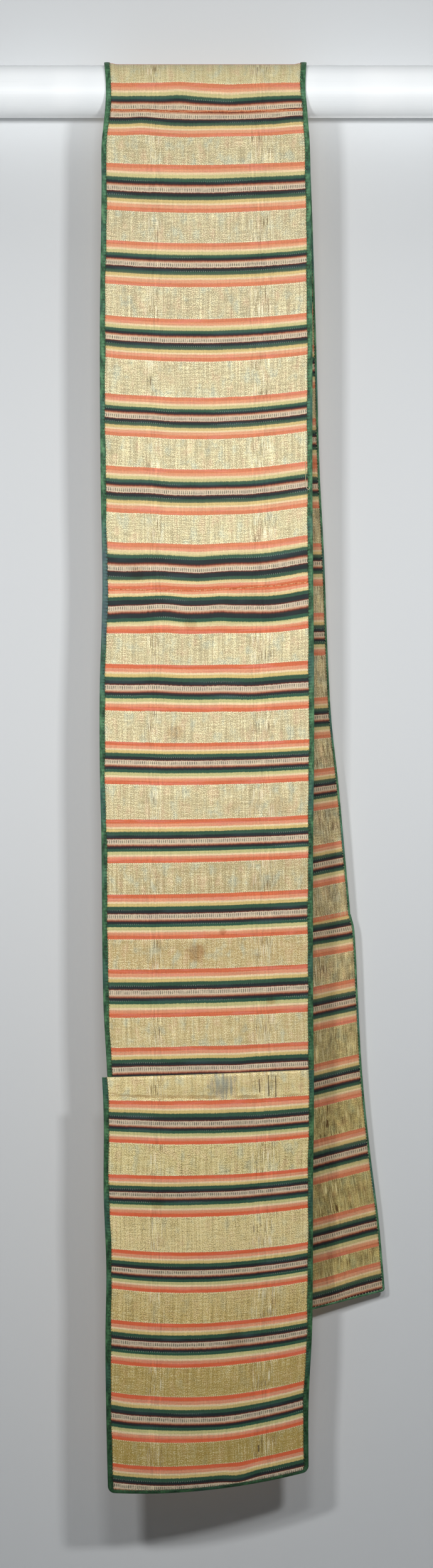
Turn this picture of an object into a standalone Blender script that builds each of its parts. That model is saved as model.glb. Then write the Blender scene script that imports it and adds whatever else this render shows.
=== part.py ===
"""A long striped silk sash hung over a round white rod.

Six lengths of cloth are sewn end to end, a narrow binding is folded over every edge, and a plain round rod
carries it all. Metres, +Z up. The rod's axis is the X axis, and the front hang is towards -Y.
The sizes below are in millimetres, and MM turns them into metres where a mesh is made.
"""

import math
from collections import namedtuple

import bmesh
import bpy
from mathutils import Vector

MM = 0.001

# The rod
ROD_RADIUS = 30.0
ROD_LENGTH = 600.0
ROD_SIDES = 64
ROD_ROUNDING = 2.0
ROD_ROUNDING_STEPS = 2

# The cloth and its binding
CLOTH = 1.0
GAP = 0.3
BINDING_WALL = 1.0
SIDE_FACE_FLAP = 6.3
SIDE_BACK_FLAP = 2.6
HEM_FACE_FLAP = 4.0
HEM_BACK_FLAP = 2.6
FOLD_ROUNDING = 0.8
SEAT_CLEARANCE = 0.4
LAP = 8.0
LAP_SLACK = 0.6

HALF_CLOTH = CLOTH / 2
PATH_RADIUS = ROD_RADIUS + SEAT_CLEARANCE + HALF_CLOTH
QUARTER = PATH_RADIUS * math.pi / 2
EDGE_INSET = BINDING_WALL + GAP
LAP_RISE = CLOTH + GAP + LAP_SLACK
LAP_INSET = SIDE_BACK_FLAP + 2 * GAP + BINDING_WALL
EDGE_LIFT = BINDING_WALL + GAP
EDGE_LIFT_FULL = SIDE_FACE_FLAP + 1.2
EDGE_LIFT_NONE = EDGE_LIFT_FULL + 8.0
EDGE_LIFT_FADES = 60.0

# How closely the cloth is sectioned
STEP_HANGING = 29.0
STEP_ON_ROD = 6.0
CREASE_STATIONS = (-1240, -1230, -1221, -1211, -1200)
INNER_COLUMNS = 6
HEM_COLUMNS = 9
PROBE = 0.5
PROBE_ACROSS = 0.01

# One section across the sash. Along is the distance from the top of the rod down the middle of the cloth,
# less than 0 on the front hang. A shift moves an edge along the cloth from there, so that the stripes
# sag and slant. Left and right are the two edges, and turn is how much further back the right one hangs.
Section = namedtuple("Section", "along left_shift right_shift left right turn")

FRONT_END = (
    Section(-1673, 0, 17, -125, 107, 36),
    Section(-1593, 9, 18, -127, 107, 35),
    Section(-1506, 7, 13, -128, 111, 34),
    Section(-1423, 7, 11, -127, 112, 32),
    Section(-1332, 3, 8, -130, 112, 29),
    Section(-1250, 4, 6, -130, 113, 26),
    Section(-1192, -3, 4, -132, 113, 23),
)
MAIN = (
    Section(-1202, -3, 4, -126, 113, 24),
    Section(-1192, -3, 4, -126, 113, 23),
    Section(-1098, -1, 5, -131, 112, 19),
    Section(-923, -1, 5, -133, 112, 12),
    Section(-833, 2, 5, -135, 113, 8),
    Section(-747, 2, 5, -135, 113, 5),
    Section(-632, 2, 10, -132, 112, 2),
    Section(-518, 6, 11, -134, 111, 0),
    Section(-343, 6, 9, -135, 111, 0),
    Section(-168, 4, 6, -133, 109, 0),
    Section(-118, 2, 3, -133, 108, 0),
    Section(-78, 2, 2, -129, 105, 0),
    Section(-49, 0, 0, -128, 103, 0),
    Section(0, 0, 0, -131, 105, 0),
    Section(49, 0, 0, -128, 103, 0),
    Section(78, 0, 0, -130, 106, 0),
    Section(148, 0, 0, -130, 111, 0),
    Section(367, 0, 0, -123, 118, 0),
    Section(480, 0, 0, -120, 121, 3),
    Section(599, 1, -1, -114, 127, 7),
    Section(684, 2, -2, -111, 130, 11),
    Section(785, 8, -8, -105, 135, 16),
    Section(877, 17, -17, -96, 144, 21),
    Section(970, 24, -24, -88, 152, 26),
    Section(1036, 25, -25, -82, 158, 29),
)
BACK_END = (
    Section(1036, 24.2, -25.8, -78, 162, 29),
    Section(1137, 25, -25, -72, 167, 35),
    Section(1226, 27, -27, -67, 172, 39),
    Section(1317, 29, -29, -58, 181, 42),
    Section(1405, 29, -29, -47, 192, 43),
    Section(1484, 28, -28, -40, 199, 44),
)

# Where the cloth stands out of its plane: place along and across (-1 to 1), reach each way, and height.
Fold = namedtuple("Fold", "along across reach_along reach_across height")

FOLDS = (
    Fold(-660, -0.3, 40, 0.35, 3.0),
    Fold(-615, 0.45, 34, 0.3, 3.2),
    Fold(-575, -0.7, 45, 0.3, -2.6),
    Fold(-420, 0.2, 90, 0.5, -2.4),
    Fold(-250, -0.4, 70, 0.6, 2.2),
    Fold(-900, 0.5, 90, 0.5, 2.6),
    Fold(-1080, -0.3, 70, 0.7, -2.4),
    Fold(-1221, 0.2, 12, 0.9, -2.2),
    Fold(-1290, -0.5, 55, 0.5, 2.4),
    Fold(-1480, 0.4, 80, 0.5, -2.8),
    Fold(-1630, -0.6, 60, 0.5, 2.6),
    Fold(260, -0.2, 90, 0.6, 2.4),
    Fold(620, 0.5, 80, 0.5, -2.6),
    Fold(830, -0.5, 90, 0.5, 3.2),
    Fold(1050, 0.6, 50, 0.5, 2.4),
    Fold(1250, -0.1, 90, 0.6, -3.0),
    Fold(1440, 0.7, 60, 0.5, 2.8),
)
BOW = 3.0
BOW_FULL = 250.0

# The seams, by their distance along the cloth
FRONT_HEM = -1673.0
SEAM_LAPPED = -1192.0
SEAM_FRONT = -632.0
SEAM_ROD = -77.5
SEAM_BACK = 480.0
SEAM_BACK_END = 1036.0
BACK_HEM = 1484.0

# Colours in linear red, green and blue, with a roughness for each
STRIPED_SILK = (0.50, 0.40, 0.20)
GREEN_SILK = (0.06, 0.15, 0.07)
WHITE_PAINT = (0.82, 0.84, 0.84)
SILK_ROUGHNESS = 0.55
PAINT_ROUGHNESS = 0.4

# A stretch of cloth with one set of sections. Rise is how far it lies over the rest of the sash.
Run = namedtuple("Run", "sections rise")

FRONT_END_RUN = Run(FRONT_END, LAP_RISE)
MAIN_RUN = Run(MAIN, 0.0)
BACK_END_RUN = Run(BACK_END, 0.0)


def remove_everything():
    """Empties the scene that the script was started in."""
    for thing in list(bpy.data.objects):
        bpy.data.objects.remove(thing, do_unlink=True)


def smooth_step(share):
    """0 below 0, 1 above 1, and an easy curve between them."""
    share = min(max(share, 0.0), 1.0)
    return share * share * (3 - 2 * share)


def slope_at(rows, index, column):
    """How fast one column changes at a row, from the rows on either side."""
    low = max(index - 1, 0)
    high = min(index + 1, len(rows) - 1)
    rise = getattr(rows[high], column) - getattr(rows[low], column)
    return rise / (rows[high].along - rows[low].along)


def read(rows, along, column):
    """A column of a table of sections, read on a smooth curve through its rows."""
    index = 0
    while index < len(rows) - 2 and along > rows[index + 1].along:
        index += 1
    low = rows[index]
    high = rows[index + 1]
    span = high.along - low.along
    share = min(max((along - low.along) / span, 0.0), 1.0)
    start = getattr(low, column)
    end = getattr(high, column)
    start_slope = slope_at(rows, index, column) * span
    end_slope = slope_at(rows, index + 1, column) * span
    square = share * share
    cube = square * share
    return (
        (2 * cube - 3 * square + 1) * start
        + (cube - 2 * square + share) * start_slope
        + (3 * square - 2 * cube) * end
        + (cube - square) * end_slope
    )


def width_at(run, along):
    """The sash's width, edge to edge, at a place along it."""
    return read(run.sections, along, "right") - read(run.sections, along, "left")


def across_at(run, along, inset, side):
    """The place across, from -1 to 1, that lies an inset in from the left (-1) or right (1) edge."""
    return side * (1 - 2 * inset / width_at(run, along))


def lift_at(run, along, across):
    """How far the cloth stands off its path: its folds, its bow, the lap, and its thick edges on the rod."""
    hanging = smooth_step((abs(along) - QUARTER) / BOW_FULL)
    lift = run.rise + BOW * (1 - across * across) * hanging
    from_edge = (1 - abs(across)) * width_at(run, along) / 2
    thick = smooth_step((EDGE_LIFT_NONE - from_edge) / (EDGE_LIFT_NONE - EDGE_LIFT_FULL))
    seated = 1 - smooth_step((abs(along) - QUARTER) / EDGE_LIFT_FADES)
    lift += EDGE_LIFT * thick * seated
    for fold in FOLDS:
        far_along = (along - fold.along) / fold.reach_along
        far_across = (across - fold.across) / fold.reach_across
        lift += fold.height * math.exp(-far_along * far_along - far_across * far_across)
    return lift


def middle_of_cloth(run, along, across):
    """The point halfway through the cloth's thickness, at a place along and across the sash."""
    left_shift = read(run.sections, along, "left_shift")
    right_shift = read(run.sections, along, "right_shift")
    slant = (right_shift - left_shift) / 2
    sag = (right_shift + left_shift) / 2
    placed = along + slant * across + sag * across * across
    left = read(run.sections, along, "left")
    right = read(run.sections, along, "right")
    x = left + (right - left) * (across + 1) / 2
    radius = PATH_RADIUS + lift_at(run, along, across)
    turned = read(run.sections, along, "turn") * across / 2
    if abs(placed) <= QUARTER:
        angle = placed / PATH_RADIUS
        return Vector((x, radius * math.sin(angle) + turned, radius * math.cos(angle)))
    return Vector((x, math.copysign(radius, placed) + turned, QUARTER - abs(placed)))


def directions(run, along, across):
    """Unit vectors at a place on the cloth: to the right across it, onward along it, and out of its face."""
    left = middle_of_cloth(run, along, across - PROBE_ACROSS)
    right = middle_of_cloth(run, along, across + PROBE_ACROSS)
    before = middle_of_cloth(run, along - PROBE, across)
    after = middle_of_cloth(run, along + PROBE, across)
    rightward = (right - left).normalized()
    onward = (after - before).normalized()
    outward = rightward.cross(onward).normalized()
    return rightward, onward, outward


def stations(start, end):
    """Places along the cloth where it is sectioned, close together where it bends round the rod."""
    bend = QUARTER + STEP_ON_ROD
    marks = [start, end]
    marks += [mark for mark in (-bend, bend, *CREASE_STATIONS) if start < mark < end]
    marks.sort()
    places = []
    for low, high in zip(marks, marks[1:]):
        on_rod = abs(low + high) / 2 < bend
        step = STEP_ON_ROD if on_rod else STEP_HANGING
        count = max(1, round((high - low) / step))
        places += [low + (high - low) * index / count for index in range(count)]
    return [*places, end]


def columns(run, along, inset):
    """Places across the cloth, from one edge of the panel to the other, closer near the bound edges."""
    edges = (inset, EDGE_LIFT_FULL, EDGE_LIFT_NONE)
    left = [across_at(run, along, edge, -1) for edge in edges]
    right = [across_at(run, along, edge, 1) for edge in reversed(edges)]
    span = right[0] - left[-1]
    inner = [left[-1] + span * index / INNER_COLUMNS for index in range(1, INNER_COLUMNS)]
    return left + inner + right


def material(name, colour, roughness):
    """A Principled material in one colour."""
    made = bpy.data.materials.new(name)
    made.use_nodes = True
    shader = made.node_tree.nodes["Principled BSDF"]
    shader.inputs["Base Color"].default_value = (*colour, 1.0)
    shader.inputs["Roughness"].default_value = roughness
    shader.inputs["Metallic"].default_value = 0.0
    return made


def finish_object(name, mesh, colour, roughness):
    """Puts a bmesh in millimetres into the scene as one named object in metres."""
    bmesh.ops.scale(mesh, vec=(MM, MM, MM), verts=mesh.verts)
    bmesh.ops.recalc_face_normals(mesh, faces=mesh.faces)
    data = bpy.data.meshes.new(name)
    mesh.to_mesh(data)
    mesh.free()
    data.materials.append(material(name, colour, roughness))
    data.shade_smooth()
    data.set_sharp_from_angle(angle=math.radians(35))
    made = bpy.data.objects.new(name, data)
    bpy.context.scene.collection.objects.link(made)
    return made


def loft(rings):
    """A closed solid through rings of the same number of points, capped at both ends."""
    mesh = bmesh.new()
    loops = [[mesh.verts.new(point) for point in ring] for ring in rings]
    size = len(loops[0])
    for low, high in zip(loops, loops[1:]):
        for index in range(size):
            after = (index + 1) % size
            mesh.faces.new((low[index], low[after], high[after], high[index]))
    mesh.faces.new(list(reversed(loops[0])))
    mesh.faces.new(loops[-1])
    return mesh


def panel(name, run, start, end, tongue=False):
    """One length of the striped cloth. A tongue runs on under the next length, narrower than the rest."""
    sections = [(along, EDGE_INSET) for along in stations(start + GAP / 2, end - GAP / 2)]
    if tongue:
        sections[0] = (start + 4 * GAP, EDGE_INSET)
        sections = [(start - LAP, LAP_INSET), (start + GAP, LAP_INSET), *sections]
    rings = []
    for along, inset in sections:
        face = []
        back = []
        for across in columns(run, along, inset):
            point = middle_of_cloth(run, along, across)
            outward = directions(run, along, across)[2]
            face.append(point + outward * HALF_CLOTH)
            back.append(point - outward * HALF_CLOTH)
        rings.append(face + list(reversed(back)))
    return finish_object(name, loft(rings), STRIPED_SILK, SILK_ROUGHNESS)


def binding_profile(face_flap, back_flap):
    """The folded strip's section: how far in from the fold, and how far out of the cloth's middle."""
    inner = HALF_CLOTH + GAP
    outer = inner + BINDING_WALL
    slack = BINDING_WALL
    return (
        (face_flap, outer),
        (FOLD_ROUNDING, outer),
        (FOLD_ROUNDING / 4, outer - FOLD_ROUNDING),
        (0.0, 0.0),
        (FOLD_ROUNDING / 4, FOLD_ROUNDING - outer),
        (FOLD_ROUNDING, -outer),
        (back_flap, -outer),
        (back_flap, -inner),
        (slack, -inner),
        (slack, inner),
        (face_flap, inner),
    )


def side_binding(name, run, start, end, side):
    """A strip folded over the left (-1) or right (1) edge between two places along the sash."""
    profile = binding_profile(SIDE_FACE_FLAP, SIDE_BACK_FLAP)
    rings = []
    for along in stations(start + GAP / 2, end - GAP / 2):
        edge = middle_of_cloth(run, along, side)
        near_edge = across_at(run, along, SIDE_FACE_FLAP / 2, side)
        rightward, _, outward = directions(run, along, near_edge)
        rings.append([edge - rightward * side * inset + outward * height for inset, height in profile])
    return finish_object(name, loft(rings), GREEN_SILK, SILK_ROUGHNESS)


def hem_binding(name, run, along, inward):
    """A strip folded over an end of the sash. Inward is 1 where the cloth lies further along, else -1."""
    profile = binding_profile(HEM_FACE_FLAP, HEM_BACK_FLAP)
    near_edge = along + inward * HEM_FACE_FLAP / 2
    limits = (across_at(run, along, 0.0, -1), across_at(run, along, 0.0, 1))
    bound = across_at(run, along, EDGE_LIFT_FULL, 1)
    free = across_at(run, along, EDGE_LIFT_NONE, 1)
    inner = [free - 2 * free * index / HEM_COLUMNS for index in range(HEM_COLUMNS + 1)]
    places = sorted([limits[0], -bound, *inner, bound, limits[1]])
    rings = []
    for across in places:
        edge = middle_of_cloth(run, along, across)
        probe = max(min(across, 1 - PROBE_ACROSS), PROBE_ACROSS - 1)
        _, onward, outward = directions(run, near_edge, probe)
        rings.append([edge + onward * inward * inset + outward * height for inset, height in profile])
    return finish_object(name, loft(rings), GREEN_SILK, SILK_ROUGHNESS)


def rod():
    """The plain round rod, with slightly rounded rims and flat ends."""
    mesh = bmesh.new()
    bmesh.ops.create_cone(
        mesh,
        cap_ends=True,
        segments=ROD_SIDES,
        radius1=ROD_RADIUS,
        radius2=ROD_RADIUS,
        depth=ROD_LENGTH,
    )
    rims = [edge for edge in mesh.edges if len({round(vertex.co.z) for vertex in edge.verts}) == 1]
    bmesh.ops.bevel(
        mesh,
        geom=rims,
        offset=ROD_ROUNDING,
        segments=ROD_ROUNDING_STEPS,
        affect="EDGES",
        profile=0.5,
    )
    for vertex in mesh.verts:
        vertex.co = Vector((vertex.co.z, vertex.co.x, vertex.co.y))
    return finish_object("rod", mesh, WHITE_PAINT, PAINT_ROUGHNESS)


def build():
    """Makes every piece of the sash, then the rod."""
    remove_everything()
    rod()
    front_stop = FRONT_HEM + EDGE_INSET
    back_stop = BACK_HEM - EDGE_INSET
    panel("panel_front_end", FRONT_END_RUN, front_stop, SEAM_LAPPED)
    panel("panel_front_lower", MAIN_RUN, SEAM_LAPPED, SEAM_FRONT, tongue=True)
    panel("panel_front_upper", MAIN_RUN, SEAM_FRONT, SEAM_ROD)
    panel("panel_over_rod", MAIN_RUN, SEAM_ROD, SEAM_BACK)
    panel("panel_back_middle", MAIN_RUN, SEAM_BACK, SEAM_BACK_END)
    panel("panel_back_end", BACK_END_RUN, SEAM_BACK_END, back_stop)
    front_strip_end = FRONT_HEM + HEM_FACE_FLAP
    back_strip_end = BACK_HEM - HEM_FACE_FLAP
    strips = (
        ("front_end", FRONT_END_RUN, front_strip_end, SEAM_LAPPED),
        ("front", MAIN_RUN, SEAM_LAPPED + GAP, SEAM_ROD),
        ("over_rod", MAIN_RUN, SEAM_ROD, SEAM_BACK),
        ("back", MAIN_RUN, SEAM_BACK, SEAM_BACK_END),
        ("back_end", BACK_END_RUN, SEAM_BACK_END, back_strip_end),
    )
    for stretch, run, start, end in strips:
        side_binding(f"binding_left_{stretch}", run, start, end, -1)
        side_binding(f"binding_right_{stretch}", run, start, end, 1)
    hem_binding("binding_front_hem", FRONT_END_RUN, FRONT_HEM, 1)
    hem_binding("binding_back_hem", BACK_END_RUN, BACK_HEM, -1)


build()
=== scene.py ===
# %% [markdown]
# # A striped silk sash hung over a white rod
#
# The sash is six lengths of hand-woven silk, sewn end to end, with a green silk strip folded over every
# edge. It hangs over a round painted rod, with a long hang in front and a shorter one behind.
#
# This lesson dresses a plain solid model of it. The solids give the true size and place of every piece.
# Here each length of cloth becomes a thin sheet with creases, a weave and stripes, the bindings become
# soft folded strips that puff between their stitches, and the rod gets its paint.

import math
from collections import namedtuple
from types import SimpleNamespace

import bmesh
import bpy
import numpy as np
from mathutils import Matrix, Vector


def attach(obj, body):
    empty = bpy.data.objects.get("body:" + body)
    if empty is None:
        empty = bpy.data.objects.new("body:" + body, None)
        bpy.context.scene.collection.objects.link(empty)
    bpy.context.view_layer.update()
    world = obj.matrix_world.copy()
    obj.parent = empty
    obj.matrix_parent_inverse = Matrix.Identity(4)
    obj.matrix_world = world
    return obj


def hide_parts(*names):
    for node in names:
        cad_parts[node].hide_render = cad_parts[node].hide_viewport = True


BODY = "root"
MM = 0.001
MM_IN_A_METRE = 1000

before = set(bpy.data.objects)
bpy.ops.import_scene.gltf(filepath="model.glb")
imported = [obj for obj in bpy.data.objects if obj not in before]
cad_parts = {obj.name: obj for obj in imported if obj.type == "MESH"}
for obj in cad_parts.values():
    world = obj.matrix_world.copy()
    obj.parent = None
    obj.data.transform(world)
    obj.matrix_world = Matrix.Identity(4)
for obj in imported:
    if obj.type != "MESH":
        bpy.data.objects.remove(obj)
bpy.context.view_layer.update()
print("solids:", ", ".join(sorted(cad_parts)))

# %% [markdown]
# ## The path of the cloth
#
# A hanging sash is easy to describe by two numbers: how far along the cloth you are, counted from the top
# of the rod, and how far across it. Distances in front are less than 0. The tables below say where the two
# edges run, how far the stripes sag and slant, and how much further back the right edge hangs than the
# left one. They are the sizes that the solids were made from, so the sheets lie where the solids do. The
# back end alone starts some 4 mm further left than its solid, so that its edge runs on smoothly from the
# seam.

# %% The tables of sections, in millimetres
# The path over the rod, the bow across the width, and the lift over the edges of the binding
ROD_RADIUS = 30.0
ROD_TO_CLOTH = 0.9
PATH_RADIUS = ROD_RADIUS + ROD_TO_CLOTH
QUARTER = PATH_RADIUS * math.pi / 2
LAP_RISE = 1.9
BOW = 3.0
BOW_FULL = 250.0
EDGE_LIFT = 1.3
EDGE_LIFT_FULL = 7.5
EDGE_LIFT_NONE = 15.5
EDGE_LIFT_FADES = 60.0

Section = namedtuple("Section", "along left_shift right_shift left right turn")


def rows_of(kind, *rows):
    """A table whose rows are all of one kind."""
    return tuple(kind(*row) for row in rows)


FRONT_END = rows_of(Section,
    (-1673, 0, 17, -125, 107, 36), (-1593, 9, 18, -127, 107, 35), (-1506, 7, 13, -128, 111, 34),
    (-1423, 7, 11, -127, 112, 32), (-1332, 3, 8, -130, 112, 29), (-1250, 4, 6, -130, 113, 26),
    (-1192, -3, 4, -132, 113, 23),
)
MAIN = rows_of(Section,
    (-1202, -3, 4, -126, 113, 24), (-1192, -3, 4, -126, 113, 23), (-1098, -1, 5, -131, 112, 19),
    (-923, -1, 5, -133, 112, 12), (-833, 2, 5, -135, 113, 8), (-747, 2, 5, -135, 113, 5),
    (-632, 2, 10, -132, 112, 2), (-518, 6, 11, -134, 111, 0), (-343, 6, 9, -135, 111, 0),
    (-168, 4, 6, -133, 109, 0), (-118, 2, 3, -133, 108, 0), (-78, 2, 2, -129, 105, 0),
    (-49, 0, 0, -128, 103, 0), (0, 0, 0, -131, 105, 0), (49, 0, 0, -128, 103, 0),
    (78, 0, 0, -130, 106, 0), (148, 0, 0, -130, 111, 0), (367, 0, 0, -123, 118, 0),
    (480, 0, 0, -120, 121, 3), (599, 1, -1, -114, 127, 7), (684, 2, -2, -111, 130, 11),
    (785, 8, -8, -105, 135, 16), (877, 17, -17, -96, 144, 21), (970, 24, -24, -88, 152, 26),
    (1036, 25, -25, -82, 158, 29),
)
BACK_END = rows_of(Section,
    (1036, 24.2, -25.8, -81.7, 158.3, 29), (1054, 24.4, -25.7, -77.6, 162.6, 30),
    (1137, 25, -25, -72, 167, 35), (1226, 27, -27, -67, 172, 39), (1317, 29, -29, -58, 181, 42),
    (1405, 29, -29, -47, 192, 43), (1484, 28, -28, -40, 199, 44),
)

# The seams and hems, by their distance along the cloth
FRONT_HEM = -1673.0
SEAM_LAPPED = -1192.0
SEAM_FRONT = -632.0
SEAM_ROD = -77.5
SEAM_BACK = 480.0
SEAM_BACK_END = 1036.0
BACK_HEM = 1484.0

Run = namedtuple("Run", "sections rise")

FRONT_END_RUN = Run(FRONT_END, LAP_RISE)
MAIN_RUN = Run(MAIN, 0.0)
BACK_END_RUN = Run(BACK_END, 0.0)

print(f"cloth from hem to hem: {(BACK_HEM - FRONT_HEM) * MM:.3f} m")

# %% [markdown]
# ## Folds and creases
#
# The large folds are in the solids already, so they are repeated here. The sash was kept folded for years,
# which left many small creases: two broken lines that run lengthwise, at a quarter and three quarters of
# the width, and short soft ones at all angles. Each crease is one row of a table, and
# makes a soft trough (height below 0) or ridge. They differ in length, width, depth and direction.

# %% The table of folds, as in the solids
Fold = namedtuple("Fold", "along across reach_along reach_across height")

FOLDS = rows_of(Fold,
    (-660, -0.3, 40, 0.35, 3.0), (-615, 0.45, 34, 0.3, 3.2), (-575, -0.7, 45, 0.3, -2.6),
    (-420, 0.2, 90, 0.5, -2.4), (-250, -0.4, 70, 0.6, 2.2), (-900, 0.5, 90, 0.5, 2.6),
    (-1080, -0.3, 70, 0.7, -2.4), (-1221, 0.2, 12, 0.9, -2.2), (-1290, -0.5, 55, 0.5, 2.4),
    (-1480, 0.4, 80, 0.5, -2.8), (-1630, -0.6, 60, 0.5, 2.6), (260, -0.2, 90, 0.6, 2.4),
    (620, 0.5, 80, 0.5, -2.6), (830, -0.5, 90, 0.5, 3.2), (1050, 0.6, 50, 0.5, 2.4),
    (1250, -0.1, 90, 0.6, -3.0), (1440, 0.7, 60, 0.5, 2.8),
)

print(f"{len(FOLDS)} folds")

# %% The table of creases: places in millimetres, and a turn in degrees from straight across
Crease = namedtuple("Crease", "along across length width turn height")

CREASES = rows_of(Crease,
    (-96, -30, 46, 4, 3, -0.4), (-112, 48, 38, 4, -5, 0.4), (-150, -62, 34, 3, 84, -0.5),
    (-182, 62, 40, 3, 93, -0.5), (-205, 10, 60, 6, 4, -0.4), (-262, -66, 44, 3, 91, -0.55),
    (-300, 50, 38, 6, -7, 0.4), (-318, 66, 52, 3, 88, -0.5), (-362, -20, 64, 6, 3, 0.45),
    (-398, -63, 40, 3, 87, -0.45), (-452, 40, 50, 5, -5, -0.4), (-470, 70, 46, 3, 92, -0.5),
    (-505, -50, 42, 6, 7, 0.5), (-540, 20, 76, 6, -2, -0.5), (-566, -66, 36, 3, 90, -0.5),
    (-586, 58, 44, 5, -5, 0.6), (-598, -48, 50, 5, 4, -0.6), (-622, -16, 70, 5, 2, 0.6),
    (-640, 52, 44, 5, -6, -0.6), (-655, -70, 34, 5, 9, -0.6), (-668, 14, 66, 5, 3, 0.6),
    (-690, 66, 36, 3, 88, -0.5), (-722, -40, 52, 6, -6, -0.45), (-766, -65, 42, 3, 92, -0.5),
    (-795, 32, 60, 6, 5, 0.4), (-840, 63, 48, 3, 89, -0.5), (-872, -24, 56, 6, -5, 0.4),
    (-930, -62, 50, 3, 90, -0.45), (-958, 24, 72, 6, 3, -0.45), (-1012, 68, 54, 3, 91, -0.5),
    (-1040, -38, 52, 6, 6, 0.4), (-1086, -66, 38, 3, 88, -0.5), (-1118, 34, 64, 6, -4, -0.4),
    (-1150, -20, 60, 5, 3, 0.35), (-1214, 20, 80, 3, 2, -0.6), (-1224, 52, 20, 2, 90, -0.7),
    (-1222, 66, 24, 2, 94, -0.7), (-1232, -44, 46, 5, -4, 0.4), (-1296, 60, 40, 4, 88, -0.5),
    (-1322, -30, 62, 6, -4, 0.45), (-1366, -60, 44, 3, 91, -0.5), (-1402, 38, 54, 6, 5, -0.45),
    (-1452, 66, 50, 3, 92, -0.5), (-1484, -52, 50, 6, 6, 0.45), (-1540, -66, 44, 3, 87, -0.5),
    (-1560, 34, 60, 6, -4, -0.45), (-1604, 62, 40, 3, 89, -0.5), (-1622, -12, 70, 6, 5, 0.45),
    (-1652, -74, 30, 4, 14, -0.4), (120, -20, 60, 6, 5, 0.4), (180, 60, 50, 3, 90, -0.5),
    (236, -62, 46, 3, 88, -0.5), (310, 26, 66, 6, -4, -0.45), (396, -40, 52, 6, 6, 0.45),
    (440, 64, 44, 3, 92, -0.5), (520, 0, 74, 5, -3, -0.5), (574, -64, 46, 3, 89, -0.5),
    (640, 44, 50, 6, 7, 0.45), (716, 66, 54, 3, 91, -0.55), (760, -30, 62, 6, -5, -0.45),
    (850, -62, 50, 3, 90, -0.5), (908, 30, 66, 6, 4, 0.5), (980, 66, 44, 3, 88, -0.55),
    (1010, -36, 50, 5, -6, -0.4), (1086, 20, 72, 6, 3, 0.45), (1150, 68, 60, 3, 91, -0.55),
    (1204, -52, 48, 6, -7, -0.45), (1290, 62, 52, 3, 89, -0.5), (1330, -10, 66, 6, 4, -0.45),
    (1392, -64, 44, 3, 92, -0.5), (1450, 40, 50, 6, -5, 0.45),
)
print(f"{len(CREASES)} creases")

# %% [markdown]
# ## Points on the cloth
#
# Every mesh below asks the same question: where is the middle of the cloth at this place along and across
# it? NumPy answers it for thousands of places at once. The columns of a table are read on a smooth curve
# through its rows, and the direction out of the cloth comes from the points just around each place.

# %% Reading a table on a smooth curve
def smooth_step(share):
    """0 below 0, 1 above 1, and an easy curve between them."""
    share = np.clip(share, 0.0, 1.0)
    return share * share * (3 - 2 * share)


def read(rows, along, column):
    """A column of a table of sections at places along the cloth."""
    marks = np.array([row.along for row in rows], float)
    values = np.array([getattr(row, column) for row in rows], float)
    slopes = np.empty_like(values)
    slopes[1:-1] = (values[2:] - values[:-2]) / (marks[2:] - marks[:-2])
    slopes[0] = (values[1] - values[0]) / (marks[1] - marks[0])
    slopes[-1] = (values[-1] - values[-2]) / (marks[-1] - marks[-2])
    low = np.clip(np.searchsorted(marks, along, side="left") - 1, 0, len(marks) - 2)
    span = marks[low + 1] - marks[low]
    share = np.clip((along - marks[low]) / span, 0.0, 1.0)
    square = share * share
    cube = square * share
    return (
        (2 * cube - 3 * square + 1) * values[low]
        + (cube - 2 * square + share) * slopes[low] * span
        + (3 * square - 2 * cube) * values[low + 1]
        + (cube - square) * slopes[low + 1] * span
    )


def width_at(run, along):
    """The sash's width, edge to edge, at places along it."""
    return read(run.sections, along, "right") - read(run.sections, along, "left")


print(f"width over the rod: {float(width_at(MAIN_RUN, 0.0)):.0f} mm")

# %% Heights, points and directions on the cloth
PROBE = 0.5
PROBE_ACROSS = 0.01
CREASE_DEPTH = 1.4


def crease_height(run, along, across):
    """The height that the small creases add, all of them together."""
    from_middle = across * width_at(run, along) / 2
    height = np.zeros_like(from_middle)
    for crease in CREASES:
        turn = math.radians(crease.turn)
        up = along - crease.along
        over = from_middle - crease.across
        down_its_length = (over * math.cos(turn) + up * math.sin(turn)) / crease.length
        across_it = (up * math.cos(turn) - over * math.sin(turn)) / crease.width
        height += CREASE_DEPTH * crease.height * np.exp(-(down_its_length**4) - across_it**2)
    return height


def lift_at(run, along, across):
    """How far the cloth stands off its path."""
    far = np.abs(along) - QUARTER
    lift = run.rise + BOW * (1 - across * across) * smooth_step(far / BOW_FULL)
    from_edge = (1 - np.abs(across)) * width_at(run, along) / 2
    thick = smooth_step((EDGE_LIFT_NONE - from_edge) / (EDGE_LIFT_NONE - EDGE_LIFT_FULL))
    lift = lift + EDGE_LIFT * thick * (1 - smooth_step(far / EDGE_LIFT_FADES))
    for fold in FOLDS:
        far_along = (along - fold.along) / fold.reach_along
        far_across = (across - fold.across) / fold.reach_across
        lift = lift + fold.height * np.exp(-far_along * far_along - far_across * far_across)
    return lift + crease_height(run, along, across)


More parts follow.
